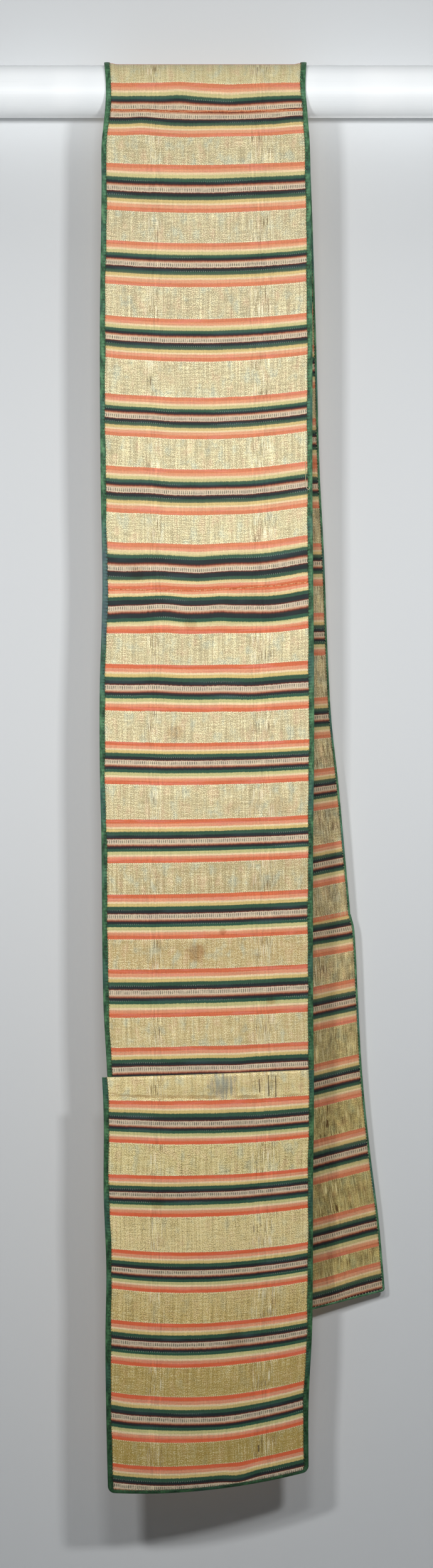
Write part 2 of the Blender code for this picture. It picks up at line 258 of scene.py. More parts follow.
def surface(run, along, across):
    """Points halfway through the cloth's thickness, in millimetres."""
    along, across = np.broadcast_arrays(np.asarray(along, float), np.asarray(across, float))
    left_shift = read(run.sections, along, "left_shift")
    right_shift = read(run.sections, along, "right_shift")
    slant = (right_shift - left_shift) / 2
    sag = (right_shift + left_shift) / 2
    placed = along + slant * across + sag * across * across
    left = read(run.sections, along, "left")
    x = left + width_at(run, along) * (across + 1) / 2
    radius = PATH_RADIUS + lift_at(run, along, across)
    turned = read(run.sections, along, "turn") * across / 2
    angle = np.clip(placed / PATH_RADIUS, -math.pi / 2, math.pi / 2)
    below = np.maximum(np.abs(placed) - QUARTER, 0.0)
    return np.stack([x, radius * np.sin(angle) + turned, radius * np.cos(angle) - below], axis=-1)


def outward_at(run, along, across):
    """Unit vectors out of the cloth's face."""
    rightward = surface(run, along, across + PROBE_ACROSS) - surface(run, along, across - PROBE_ACROSS)
    onward = surface(run, along + PROBE, across) - surface(run, along - PROBE, across)
    outward = np.cross(rightward, onward)
    return outward / np.linalg.norm(outward, axis=-1, keepdims=True)


print("middle of the front hem, in millimetres:", surface(FRONT_END_RUN, FRONT_HEM, 0.0).round(1))

# %% [markdown]
# ## Where the stripes fall
#
# Every 88 mm or so the weaver made the same group of stripes, with a small ladder pattern in its middle,
# and filled the space up to the next group with gold. The marks below are the middles of those ladders,
# and how far each group reaches above and below. A mesh carries one number for the stripes, the phase: it
# is whole at each ladder, and runs evenly over the group, so the gold between two groups takes up whatever
# is left. The material then needs only the fraction of that number to know which colour of thread it is
# at. Two lengths were sewn in the other way up, so their phase runs backwards. Where the sash is sewn the
# threads were pulled out of line, so a table of ripples moves the stripes a little.

# %% The ladders of each length, and the phase
GROUP_SHARE = 0.3
GOLD_STEP = 35.0

Length = namedtuple("Length", "name run start end ladders above below turned_round")

LENGTHS = (
    Length("front_end", FRONT_END_RUN, FRONT_HEM, SEAM_LAPPED,
           (-1669.3, -1593.1, -1505.6, -1422.5, -1332.2, -1250.5),
           (25.5, 27.9, 25.4, 24.5, 23.1, 27.7),
           (24.4, 24.0, 25.0, 22.0, 24.6, 22.4), True),
    Length("front_lower", MAIN_RUN, SEAM_LAPPED, SEAM_FRONT,
           (-1186.0, -1098.1, -1010.0, -923.3, -833.3, -747.6, -654.4),
           (26.2, 27.9, 26.7, 26.1, 24.2, 28.6, 25.0),
           (24.4, 27.0, 25.0, 23.3, 24.0, 25.4, 28.2), True),
    Length("front_upper", MAIN_RUN, SEAM_FRONT, SEAM_ROD,
           (-607.5, -518.3, -433.4, -342.6, -255.6, -168.1, -82.6),
           (28.5, 25.5, 23.8, 23.7, 24.5, 28.2, 26.6),
           (24.6, 27.0, 23.9, 24.9, 26.2, 27.3, 24.2), False),
    Length("over_rod", MAIN_RUN, SEAM_ROD, SEAM_BACK,
           (-72.8, 15.0, 103.0, 191.0, 279.0, 366.5, 452.5),
           (28.1, 24.4, 25.2, 23.8, 26.0, 24.6, 25.1),
           (24.4, 26.6, 25.8, 27.0, 24.9, 26.4, 26.0), False),
    Length("back_middle", MAIN_RUN, SEAM_BACK, SEAM_BACK_END,
           (507.5, 599.0, 683.5, 785.5, 877.5, 970.5),
           (24.8, 25.6, 24.0, 26.2, 24.9, 25.3),
           (26.1, 24.9, 27.2, 25.4, 26.6, 24.8), False),
    Length("back_end", BACK_END_RUN, SEAM_BACK_END, BACK_HEM,
           (1052.5, 1137.5, 1226.5, 1316.5, 1405.5, 1475.5),
           (25.2, 24.2, 26.0, 24.8, 25.5, 24.4),
           (25.7, 26.8, 25.0, 26.3, 24.7, 26.0), False),
)


def phase_knots(length):
    """Places along a length where the phase changes its pace, and the phase at each."""
    places = [length.ladders[0] - length.below[0] - GOLD_STEP]
    phases = [-1 + GROUP_SHARE]
    for number, (ladder, above, below) in enumerate(zip(length.ladders, length.above, length.below)):
        places += [ladder - below, ladder, ladder + above]
        phases += [number - GROUP_SHARE, number, number + GROUP_SHARE]
    places.append(places[-1] + GOLD_STEP)
    phases.append(len(length.ladders) - GROUP_SHARE)
    order = np.array(phases)
    return np.array(places), -order if length.turned_round else order


for length in LENGTHS:
    gaps = np.diff(length.ladders)
    print(f"{length.name}: {len(length.ladders)} groups, {gaps.min():.0f} to {gaps.max():.0f} mm apart")

# %% The table of ripples, which move the stripes along the cloth by some millimetres
Ripple = namedtuple("Ripple", "along across reach_along reach_across shift")

RIPPLES = rows_of(Ripple,
    (-60, -0.27, 24, 0.14, 1.8), (-60, 0.24, 24, 0.20, -2.4), (-95, -0.62, 26, 0.14, 1.9),
    (-95, -0.22, 30, 0.20, -1.1), (-92, 0.90, 30, 0.16, 2.4), (-168, 0.45, 40, 0.20, 0.8),
    (-433, -0.55, 40, 0.20, 0.9), (-518, -0.55, 42, 0.18, 1.4), (-525, 0.45, 40, 0.20, -0.9),
    (-600, -0.50, 32, 0.22, 1.7), (-605, -0.10, 26, 0.14, -0.9), (-600, 0.50, 28, 0.16, -1.2),
    (-605, 0.92, 30, 0.14, 1.4), (-656, -0.44, 32, 0.17, 2.8), (-656, -0.95, 28, 0.12, -2.0),
    (-656, 0.12, 26, 0.10, 1.2), (-660, 0.62, 34, 0.28, -3.2), (-747, -0.50, 30, 0.18, 1.6),
    (-747, 0.43, 30, 0.20, -1.2), (-1180, -0.70, 26, 0.35, 1.1), (-1180, 0.24, 26, 0.12, -1.1),
    (-1593, -0.45, 34, 0.25, 0.8), (-1593, 0.22, 34, 0.18, -1.0), (-1668, -1.00, 32, 0.40, 3.8),
    (-1664, 0.30, 20, 0.13, -2.8), (120, -0.40, 50, 0.22, 1.3), (470, 0.35, 34, 0.20, 2.2),
    (500, -0.50, 38, 0.24, -2.0), (700, 0.55, 44, 0.20, 1.2), (1020, -0.30, 34, 0.20, 2.4),
    (1060, 0.50, 36, 0.24, -2.2), (1300, -0.60, 46, 0.20, 1.3), (1470, 0.40, 30, 0.25, 2.0),
)


def ripple_at(along, across):
    """How far the stripes are pulled along the cloth."""
    shift = np.zeros_like(along)
    for ripple in RIPPLES:
        far_along = (along - ripple.along) / ripple.reach_along
        far_across = (across - ripple.across) / ripple.reach_across
        shift += ripple.shift * np.exp(-far_along * far_along - far_across * far_across)
    return shift


CUT_BY_SEAM = 4.0
CORAL_KEPT = 0.6


def keep_coral(length, along):
    """Stops the ripples from pulling gold into a seam that cuts through the coral."""
    first = length.ladders[0] - length.below[0]
    last = length.ladders[-1] + length.above[-1]
    if abs(first - length.start) < CUT_BY_SEAM:
        along = np.maximum(along, first + CORAL_KEPT)
    if abs(last - length.end) < CUT_BY_SEAM:
        along = np.minimum(along, last - CORAL_KEPT)
    return along


print(f"{len(RIPPLES)} ripples")

# %% [markdown]
# ## Building a sheet
#
# A sheet is a grid of points on the face, the same grid on the reverse 0.8 mm behind it, and a rim that
# joins the two. Rows are put exactly on the phase's knots, so that each stripe keeps its true width, and
# the ends curl in a little where they were turned under and sewn. Three attributes ride on the points:
# the phase, the place on the cloth, and which side it is.

# %% A mesh from arrays
def put_mesh(name, points, faces, material, attributes=()):
    """A named object from points in millimetres and faces of four corners each."""
    points = np.asarray(points, float).reshape(-1, 3) * MM
    faces = np.asarray(faces, int).reshape(-1, 4)
    data = bpy.data.meshes.new(name)
    data.vertices.add(len(points))
    data.vertices.foreach_set("co", points.ravel())
    data.loops.add(faces.size)
    data.loops.foreach_set("vertex_index", faces.ravel())
    data.polygons.add(len(faces))
    data.polygons.foreach_set("loop_start", np.arange(len(faces)) * 4)
    data.polygons.foreach_set("use_smooth", np.ones(len(faces), bool))
    for title, kind, values in attributes:
        made = data.attributes.new(title, kind, "POINT")
        field = "vector" if kind == "FLOAT_VECTOR" else "value"
        made.data.foreach_set(field, np.asarray(values, float).ravel())
    data.update(calc_edges=True)
    data.validate()
    data.materials.append(material)
    piece = bpy.data.objects.new(name, data)
    bpy.context.scene.collection.objects.link(piece)
    return piece


def grid_faces(rows, columns, closed=False):
    """The faces of a grid of points, each with its corners in turn. A closed grid joins its last column to
    its first."""
    index = np.arange(rows * columns).reshape(rows, columns)
    after = np.roll(index, -1, axis=1)
    last = columns if closed else columns - 1
    corners = [index[:-1, :last], after[:-1, :last], after[1:, :last], index[1:, :last]]
    return np.stack(corners, axis=-1).reshape(-1, 4)


print("faces of a tube with 3 rings of 4 points:", len(grid_faces(3, 4, closed=True)))

# %% The rows and columns of a sheet
HALF_SHEET = 0.4
GAP = 0.3
SEAM_GAP = 0.08
BINDING_WALL = 1.0
EDGE_INSET = BINDING_WALL + GAP
TONGUE = 8.0
TONGUE_INSET = 4.4
ROW_STEP = 3.5
ROW_STEP_ON_ROD = 2.0
COLUMNS = 56
TURNED_UNDER = 0.9
TURNED_ROWS = (0.0, 0.25, 0.6, 1.0)
ENDS_THINNER = 0.6
KNOT_CLEAR = 2.0
FRONT_CORNER = 7.0
BACK_CORNER = 3.5


def corner_inset(depth, radius):
    """How far a round corner cuts in from the side, at a depth from the hem."""
    left_over = np.clip(radius - depth, 0.0, radius)
    return radius - np.sqrt(radius * radius - left_over * left_over)


def sheet_rows(length):
    """Places along a length for its rows, with the phase's knots and the turned ends among them."""
    start = length.start + SEAM_GAP / 2
    end = length.end - SEAM_GAP / 2
    if length.name == "front_end":
        start = FRONT_HEM + EDGE_INSET
    if length.name == "back_end":
        end = BACK_HEM - EDGE_INSET
    marks = {start, end}
    marks |= {start + TURNED_UNDER * share for share in TURNED_ROWS}
    marks |= {end - TURNED_UNDER * share for share in TURNED_ROWS}
    knots = phase_knots(length)[0]
    marks |= {float(knot) for knot in knots if start + KNOT_CLEAR < knot < end - KNOT_CLEAR}
    rows = []
    marks = sorted(marks)
    for low, high in zip(marks, marks[1:]):
        step = ROW_STEP_ON_ROD if abs(low + high) / 2 < QUARTER + ROW_STEP else ROW_STEP
        count = max(1, math.ceil((high - low) / step))
        rows += [low + (high - low) * number / count for number in range(count)]
    rows.append(end)
    if length.name == "front_lower":
        rows = [start - TONGUE, start - TONGUE / 2, *rows]
    return np.array(rows)


print("rows in each length:", *(len(sheet_rows(length)) for length in LENGTHS))

# %% The six sheets of striped cloth
def cloth_sheet(length, material):
    """One length of the striped cloth as a closed thin sheet."""
    rows = sheet_rows(length)
    inset = np.full(len(rows), EDGE_INSET)
    if length.name == "front_end":
        inset += corner_inset(rows - FRONT_HEM, FRONT_CORNER)
    if length.name == "back_end":
        inset += corner_inset(BACK_HEM - rows, BACK_CORNER)
    if length.name == "front_lower":
        inset[rows < length.start] = TONGUE_INSET
    reach = 1 - 2 * inset / width_at(length.run, rows)
    share = np.linspace(-1.0, 1.0, COLUMNS)
    across = reach[:, None] * share[None, :]
    along = np.repeat(rows[:, None], COLUMNS, axis=1)
    middle = surface(length.run, along, across)
    outward = outward_at(length.run, along, across)
    from_end = np.minimum(rows - rows[0], rows[-1] - rows)
    tuck = 1 - smooth_step(from_end / TURNED_UNDER)
    sunk = tuck * (LAP_RISE / 2 if length.name == "front_end" else HALF_SHEET / 2)
    middle = middle - outward * sunk[:, None, None]
    half = (HALF_SHEET * (1 - ENDS_THINNER * tuck))[:, None, None]
    knots, phases = phase_knots(length)
    phase = np.interp(keep_coral(length, along - ripple_at(along, across)), knots, phases)
    place = np.stack([across * width_at(length.run, along) / 2 * MM, along * MM, along * 0], axis=-1)
    front = grid_faces(len(rows), COLUMNS)
    count = len(rows) * COLUMNS
    index = np.arange(count).reshape(len(rows), COLUMNS)
    rim = np.concatenate([index[0, :-1], index[:-1, -1], index[-1, :0:-1], index[:0:-1, 0]])
    after = np.roll(rim, -1)
    edge = np.stack([after, rim, rim + count, after + count], axis=-1)
    faces = np.concatenate([front, front[:, ::-1] + count, edge])
    points = np.stack([middle + outward * half, middle - outward * half])
    attributes = (
        ("stripe_phase", "FLOAT", np.tile(phase.ravel(), 2)),
        ("cloth_place", "FLOAT_VECTOR", np.tile(place.reshape(-1, 3), (2, 1))),
        ("reverse", "FLOAT", np.repeat([0.0, 1.0], count)),
    )
    return put_mesh(f"cloth_{length.name}", points, faces, material, attributes)


# %% [markdown]
# ## Writing materials as sums
#
# A material is a web of small nodes. Wiring them one by one hides what they do, so a small class stands
# for one socket and lets plain Python sums make the nodes: 1 - mask adds one Math node. Every other kind
# of node comes from one method, which takes the node's type, its settings and what goes into its sockets.

# %% A socket that can be added and multiplied
class Wire:
    """One output of a node, ready for sums."""

    def __init__(self, recipe, socket):
        self.recipe = recipe
        self.socket = socket

    def math(self, operation, *values):
        sockets = dict(enumerate(values))
        return self.recipe.node("ShaderNodeMath", {"operation": operation}, sockets)

    def __add__(self, other):
        return self.math("ADD", self, other)

    def __radd__(self, other):
        return self.math("ADD", other, self)

    def __sub__(self, other):
        return self.math("SUBTRACT", self, other)

    def __rsub__(self, other):
        return self.math("SUBTRACT", other, self)

    def __mul__(self, other):
        return self.math("MULTIPLY", self, other)

    def __rmul__(self, other):
        return self.math("MULTIPLY", other, self)

    def __truediv__(self, other):
        return self.math("DIVIDE", self, other)

    def __abs__(self):
        return self.math("ABSOLUTE", self)


# %% A recipe, which makes the nodes of a material
class Recipe:
    """The nodes of one material."""

    def __init__(self, name):
        self.material = bpy.data.materials.new(name)
        self.material.use_nodes = True
        self.tree = self.material.node_tree
        self.tree.nodes.clear()

    def node(self, kind, settings=None, sockets=None, give=0):
        """Adds a node. Its settings are made first, then its sockets are given numbers or wires."""
        made = self.tree.nodes.new(kind)
        for key, value in (settings or {}).items():
            if key == "stops":
                set_stops(made.color_ramp, value)
            else:
                setattr(made, key, value)
        for key, value in (sockets or {}).items():
            if isinstance(value, Wire):
                self.tree.links.new(value.socket, made.inputs[key])
            else:
                made.inputs[key].default_value = value
        return Wire(self, made.outputs[give]) if len(made.outputs) else made

    def attribute(self, name, give="Fac"):
        return self.node("ShaderNodeAttribute", {"attribute_name": name}, give=give)

    def mix(self, amount, first, second, how="MIX"):
        """A colour between two others."""
        settings = {"data_type": "RGBA", "blend_type": how}
        return self.node("ShaderNodeMix", settings, {0: amount, 6: first, 7: second}, give=2)

    def scaled(self, colour, amount):
        """A colour made lighter or darker by a factor."""
        return self.node("ShaderNodeVectorMath", {"operation": "SCALE"}, {0: colour, "Scale": amount})

    def ramp(self, amount, stops):
        return self.node("ShaderNodeValToRGB", {"stops": stops}, {0: amount})

    def between(self, value, low, high):
        """0 below low, 1 above high and an easy curve between them."""
        settings = {"interpolation_type": "SMOOTHSTEP"}
        return self.node("ShaderNodeMapRange", settings, {0: value, 1: low, 2: high})

    def stretched(self, place, across, along):
        """The place on the cloth, scaled to so many repeats a metre each way."""
        sockets = {0: place, 1: (across, along, 1.0)}
        return self.node("ShaderNodeVectorMath", {"operation": "MULTIPLY"}, sockets)

    def millimetres(self, place):
        """How far across and along the cloth a place is, in millimetres."""
        parts = [self.node("ShaderNodeSeparateXYZ", {}, {0: place}, give=axis) for axis in "XY"]
        return [part * MM_IN_A_METRE for part in parts]

    def noise(self, place, across, along, detail=2.0, rough=0.5, seed=0.0):
        """Soft random values from 0 to 1, with so many lumps a metre each way."""
        at = self.stretched(place, across, along)
        moved = self.node("ShaderNodeVectorMath", {"operation": "ADD"}, {0: at, 1: (0.0, 0.0, seed)})
        sockets = {"Vector": moved, "Scale": 1.0, "Detail": detail, "Roughness": rough}
        return self.node("ShaderNodeTexNoise", {}, sockets)

    def patches(self, place, across, along, low, high, detail=2.0, seed=0.0):
        """Patches of 1 on 0 with soft edges, where the noise rises from low to high."""
        return self.between(self.noise(place, across, along, detail=detail, seed=seed), low, high)

    def bump(self, height, strength, distance):
        """Fine relief, as the direction that the shader takes the surface to face."""
        sockets = {"Strength": strength, "Distance": distance, "Height": height}
        return self.node("ShaderNodeBump", {}, sockets)

    def finish(self, sockets):
        """Ends the recipe in one surface shader, and gives the material."""
        shader = self.node("ShaderNodeBsdfPrincipled", {}, sockets)
        self.node("ShaderNodeOutputMaterial", {}, {"Surface": shader})
        return self.material


# %% Colours and colour ramps
def set_stops(ramp, stops):
    """Fills a colour ramp from pairs of a place and a colour."""
    while len(ramp.elements) > 1:
        ramp.elements.remove(ramp.elements[-1])
    ramp.elements[0].position = stops[0][0]
    ramp.elements[0].color = stops[0][1]
    for position, colour in stops[1:]:
        ramp.elements.new(position).color = colour


def seen(red, green, blue):
    """A colour named by how it looks on a screen, 0 to 255, as the linear light that shaders use."""
    shares = (value / 255 for value in (red, green, blue))
    linear = [share / 12.92 if share < 0.04045 else ((share + 0.055) / 1.055) ** 2.4 for share in shares]
    return (*linear, 1.0)


print("mid grey in linear light:", round(seen(128, 128, 128)[0], 3))


# %% [markdown]
# ## The thread colours
#
# Each group has two sides. Out from the ladder, one side goes through rust, navy, green, pale green, cream
# and salmon to coral, and the other through dusty pink, navy, dark green, yellow, cream and salmon to
# coral. A ramp with close pairs of stops gives each colour its width and a soft edge, as woven threads do.

# %% The two sides of a group of stripes
CORAL = seen(223, 116, 76)
SALMON = seen(236, 164, 126)
CREAM = seen(248, 221, 176)
NAVY = seen(31, 42, 43)
MAROON = seen(80, 40, 32)
EDGE_BLEND = 0.0042

PALE_GREEN_SIDE = (
    (0.020, seen(222, 200, 176)),
    (0.038, seen(208, 162, 128)),
    (0.050, seen(158, 84, 60)),
    (0.063, MAROON),
    (0.090, NAVY),
    (0.133, seen(48, 90, 68)),
    (0.178, seen(210, 202, 140)),
    (0.206, CREAM),
    (0.228, SALMON),
    (0.250, seen(234, 152, 112)),
    (0.302, CORAL),
)
YELLOW_SIDE = (
    (0.041, seen(222, 200, 176)),
    (0.050, seen(134, 78, 62)),
    (0.062, MAROON),
    (0.096, NAVY),
    (0.143, seen(52, 88, 66)),
    (0.182, seen(222, 196, 126)),
    (0.206, CREAM),
    (0.250, SALMON),
    (0.302, CORAL),
)


def stripe_stops(side):
    """The ramp's stops for one side of a group, with a short blend at each change of thread."""
    stops = [(0.0, side[0][1])]
    for (reach, colour), (_, following) in zip(side, side[1:]):
        stops += [(reach - EDGE_BLEND, colour), (reach + EDGE_BLEND, following)]
    return stops


# %% The gold's ground along the sash, from the top of the rod down to the front hem
GROUND_REACH = 1700.0

# The stops on top of the rod are lighter with painted light from above, and the ground is paler higher up
# with painted sheen; it is darker and browner towards the front hem.
GOLD_GROUND_AND_LIGHT = (
    (0.0, seen(188, 174, 130)),
    (0.01, seen(208, 194, 145)),
    (0.03, seen(208, 194, 145)),
    (0.05, seen(190, 176, 134)),
    (0.13, seen(190, 176, 138)),
    (0.33, seen(199, 186, 144)),
    (0.47, seen(197, 182, 140)),
    (0.515, seen(198, 182, 138)),
    (0.57, seen(184, 165, 118)),
    (0.62, seen(196, 169, 112)),
    (0.68, seen(206, 184, 128)),
    (0.72, seen(236, 213, 148)),
    (0.76, seen(218, 198, 134)),
    (0.82, seen(230, 208, 146)),
    (0.88, seen(200, 172, 98)),
    (0.94, seen(182, 156, 84)),
    (0.98, seen(182, 155, 76)),
)
for side in (PALE_GREEN_SIDE, YELLOW_SIDE):
    print(f"a side of a group: {len(stripe_stops(side))} stops")

# %% [markdown]
# ## The striped silk
#
# One material serves the whole sash. It could be a picture wrapped round the cloth, but that would blur
# close up and break at the seams. Here each effect is a short sum in the cloth's own measures, so it stays
# on the cloth however that hangs. The silk stripes are fine, with a soft ribbed sheen.

# %% Helpers for marks on the cloth
# How much the phase grows in a millimetre, inside a group
HALF_GROUP = 26.0
PER_MM = GROUP_SHARE / HALF_GROUP
BAR_STEP = 2.4
BAR_SWAY = 1.2

Stain = namedtuple("Stain", "across along size strength")

STAINS = rows_of(Stain,
    (-13, -1052, 10.5, 0.55), (-37, -797, 9.0, 0.4), (-82, -613, 8.0, 0.4), (-20, -672, 7.0, 0.35),
    (18, -1028, 4.0, 0.5), (72, -1110, 5.0, 0.4), (34, -884, 8.0, 0.15), (56, -886, 10.0, 0.18),
    (84, -885, 11.0, 0.2), (-60, -1338, 9.0, 0.3), (30, -1500, 12.0, 0.3), (-30, 860, 12.0, 0.4),
    (45, 1180, 9.0, 0.4),
)

Cut = namedtuple("Cut", "across low high half_width")

CUTS = rows_of(Cut,
    (58.8, -1216, -1200, 0.5), (69.6, -1221, -1196, 0.6), (77.6, -1225, -1197, 0.6),
    (58.3, -1637, -1629, 0.9), (-40.0, 912, 930, 0.6),
)
CUT_UNEVEN = 1.6
CUT_FADES = 1.0


def spot(recipe, cloth, wobble, centre, size):
    """1 inside a round spot with an uneven edge, fading to 0 outside. Places are in millimetres."""
    over = cloth.across - centre[0]
    up = cloth.along - centre[1]
    square = over * over + up * up
    distance = square.math("SQRT", square)
    return 1 - recipe.between(distance + wobble * size, size * 0.6, size * 1.3)


def slit(recipe, cloth, cut):
    """1 on a narrow cut that runs along the cloth."""
    beside = abs(cloth.across - cut.across + cloth.wobble * CUT_UNEVEN)
    narrow = 1 - recipe.between(beside, cut.half_width * 0.5, cut.half_width * 1.5)
    begins = recipe.between(cloth.along, cut.low - CUT_FADES, cut.low + CUT_FADES)
    return narrow * begins * recipe.between(cloth.along, cut.high + CUT_FADES, cut.high - CUT_FADES)


def near_seam(recipe, along, seam, reach):
    """1 on the line of a seam, fading to 0 on both sides."""
    return 1 - recipe.between(abs(along - seam), reach * 0.4, reach)


print(f"{len(STAINS)} stains and {len(CUTS)} cuts")

# %% Where each spot of the cloth lies, in millimetres and on the stripes
WANDER = 1.2 * PER_MM
TOOTH = 1.5 * PER_MM
SEAM_BANDS_AT = -634.0
SEAM_BANDS = (50.0, 80.0)
BANDS_WIDER = 0.026
GOLD_FROM = (0.298, 0.306)
RIGHT_FOLD_AT = 64
LEFT_FOLD_AT = -61


def read_cloth(recipe):
    """All that the later steps ask about a spot: its place, its thread and the old folds near it."""
    place = recipe.attribute("cloth_place", "Vector")
    across, along = recipe.millimetres(place)
    wander = recipe.noise(place, 26, 5, detail=1.0) - 0.5
    tooth = recipe.noise(place, 1000, 60, detail=1.0, seed=3.0) - 0.5
    moved = recipe.attribute("stripe_phase") + wander * WANDER + tooth * TOOTH
    fraction = moved.math("FRACT", moved)
    second_side = fraction.math("GREATER_THAN", fraction, 0.5)
    signed = fraction - second_side
    plain = abs(signed)
    at_seam = 1 - recipe.between(abs(along - SEAM_BANDS_AT), *SEAM_BANDS)
    hump = recipe.between(plain, 0.06, 0.11) * (1 - recipe.between(plain, 0.16, 0.24))
    nearest = plain - at_seam * hump * BANDS_WIDER
    sway = recipe.noise(place, 60, 30, detail=0.0, seed=9.0)
    return SimpleNamespace(
        place=place,
        across=across,
        along=along,
        second_side=second_side,
        signed=signed,
        at_seam=at_seam,
        nearest=nearest,
        is_gold=recipe.between(nearest, *GOLD_FROM),
        beat=(across / BAR_STEP + sway * BAR_SWAY) * (2 * math.pi),
        end_piece=recipe.between(along, -1150.0, -1300.0),
        behind=recipe.between(along, 60.0, 300.0),
        left_fold=1 - recipe.between(abs(across - LEFT_FOLD_AT), 5.0, 13.0),
        right_fold=1 - recipe.between(abs(across - RIGHT_FOLD_AT), 9.0, 20.0),
        wobble=recipe.noise(place, 110, 110, seed=41.0) - 0.5,
        slub=recipe.noise(place, 500, 700, detail=2.0, seed=7.0),
    )


# %% The stripes, and the ladder in the middle of each group
LADDER_OFF = 0.012
TICK_ENDS = (0.014, 0.030)
LADDER_ENDS = (0.028, 0.035)


def woven_stripes(recipe, cloth):
    """The silk's colours: the two sides of a group, and dark ticks on the pale band between them."""
    pale_green_side = recipe.ramp(cloth.nearest, stripe_stops(PALE_GREEN_SIDE))
    yellow_side = recipe.ramp(cloth.nearest, stripe_stops(YELLOW_SIDE))
    stripes = recipe.mix(cloth.second_side, pale_green_side, yellow_side)
    from_ladder = abs(cloth.signed + LADDER_OFF)
    dye = recipe.noise(cloth.place, 70, 20, seed=5.0)
    bar_light = recipe.mix(dye, seen(240, 224, 184), seen(222, 194, 176))
    between_bars = recipe.between(cloth.beat.math("COSINE", cloth.beat) - cloth.end_piece * 0.4, 0.5, -0.3)
    uneven = 0.45 + recipe.patches(cloth.place, 160, 260, 0.3, 0.62, detail=1.0, seed=10.0) * 0.5
    tick = between_bars * (1 - recipe.between(from_ladder, *TICK_ENDS)) * uneven
    ladder = recipe.mix(tick, bar_light, seen(122, 120, 102))
    return recipe.mix(1 - recipe.between(from_ladder, *LADDER_ENDS), stripes, ladder)


# %% How the silk aged, and how its threads differ
def aged_stripes(recipe, cloth, stripes):
    """The stripes with a whiter upper part of painted sheen and some fading, paler yellow by the seam,
    ruddy and greyed parts, and with threads of uneven dye.
    """
    place = cloth.place
    nearest = cloth.nearest

    # Above the middle seam the pale and coral threads are whiter, painted sheen over silk that has faded a
    # little, and beside the seam the yellow is paler
    fading_and_sheen = recipe.between(cloth.along, -640.0, -600.0) * recipe.between(nearest, 0.1, 0.16)
    stripes = recipe.mix(fading_and_sheen * 0.16, stripes, seen(236, 206, 160))
    pale = recipe.between(nearest, 0.146, 0.158) * recipe.between(nearest, 0.21, 0.2)
    stripes = recipe.mix(cloth.at_seam * pale * 0.6, stripes, seen(238, 216, 164))

    # Threads of slightly different dye, along the stripes and across them
    weft = recipe.noise(place, 12, 1000, detail=1.0, seed=2.0)
    warp = recipe.noise(place, 1100, 40, detail=1.0, seed=6.0)
    blush = recipe.patches(place, 24, 240, 0.5, 0.64, detail=1.0, seed=8.0)
    stripes = recipe.mix(blush * recipe.between(nearest, 0.2, 0.23) * 0.4, stripes, seen(238, 144, 126))
    stripes = recipe.scaled(stripes, 0.19 + weft * 0.52 + warp * 0.34 + cloth.slub * 0.44)

    # The lowest length is a stronger red
    ruddy = cloth.end_piece * recipe.between(nearest, 0.25, 0.26)
    stripes = recipe.mix(ruddy * 0.45, stripes, seen(226, 92, 52))

    # Rows of small light ticks and bluish wear in the dark threads
    dark = recipe.between(nearest, 0.066, 0.076) * (1 - recipe.between(nearest, 0.112, 0.122))
    on_the_row = 1 - recipe.between(abs(nearest - 0.094), 0.004, 0.012)
    dotted = recipe.between(cloth.beat.math("SINE", cloth.beat), 0.3, 0.8) * on_the_row
    dotted = dotted * recipe.patches(place, 16, 24, 0.5, 0.66, detail=0.0, seed=13.0)
    stripes = recipe.mix(dark * dotted * cloth.slub * 0.8, stripes, seen(160, 172, 158))
    greyed = recipe.patches(place, 18, 25, 0.45, 0.75, seed=14.0)
    return recipe.mix(dark * greyed * 0.3, stripes, seen(72, 96, 100))


# %% [markdown]
# ## The gold
#
# The gold stretches are gilt thread over a khaki silk: pale flecks in upright rows, thin lengthwise lines
# where the gilt has worn off along two old folds, and a dotted edge of light thread where gold meets coral.
# Noise stretched one way gives threads, and a narrow slice of it gives the few that shine, as painted
# glints.

# %% Khaki ground, and pale flecks in upright rows
def gilt_threads(recipe, cloth):
    """The gold's colour, its flecks, and which spots are gilt with painted glints."""
    place = cloth.place
    along = cloth.along
    fleck = recipe.noise(place, 1300, 880, detail=2.0, rough=0.6, seed=21.0)
    row = recipe.noise(place, 560, 18, detail=1.0, seed=22.0)
    pick = recipe.noise(place, 60, 900, detail=0.0, seed=23.0)
    light = fleck * 0.7 + row * 0.18 + pick * 0.12
    low_down = recipe.between(along, -1150.0, -1560.0)
    tone = recipe.noise(place, 90, 48, detail=3.0, seed=24.0)
    # The ground along the sash, with painted light on top of the rod and painted sheen higher up
    gold = recipe.ramp(along / -GROUND_REACH, GOLD_GROUND_AND_LIGHT)
    gold = recipe.mix(recipe.between(tone, 0.5, 0.7) * (0.4 - low_down * 0.28), gold, seen(176, 198, 186))
    gold = recipe.mix(recipe.between(tone, 0.5, 0.3) * (0.34 - low_down * 0.2), gold, seen(226, 178, 146))
    rich = recipe.between(along, -1170.0, -1240.0) * recipe.between(along, -1600.0, -1480.0)
    gold = recipe.scaled(gold, (0.34 + light * 1.28) * (1 + rich * (light - 0.5) * 4.5))
    gold = recipe.mix(recipe.between(light, 0.45, 0.38) * 0.5, gold, seen(118, 102, 64))
    # Painted glints: the brightest gilt flecks are mixed towards near white
    gilt_glint = recipe.between(light - low_down * 0.03, 0.51, 0.57)
    tint = recipe.noise(place, 300, 300, seed=25.0)
    glint_colour = recipe.mix(tint, seen(255, 252, 226), seen(255, 238, 168))
    gold = recipe.mix(gilt_glint * (0.72 + low_down * 0.2), gold, glint_colour)
    return gold, fleck, gilt_glint


# %% Worn gilt, cuts, a bluish patch, and the dotted edge where gold meets coral
PATCH_AT = (17.0, -1206.0)
PATCH_SIZE = 17.0
PATCH_UNEVEN = 1.6
# The line of painted shade in a crease at the top of the front end
CREASE_SHADE_AT = -1219.0
CREASE_SHADE_REACH = 2.6
CREASE_SHADE_SLANT = 0.03
CREASE_SHADE_UNEVEN = 5


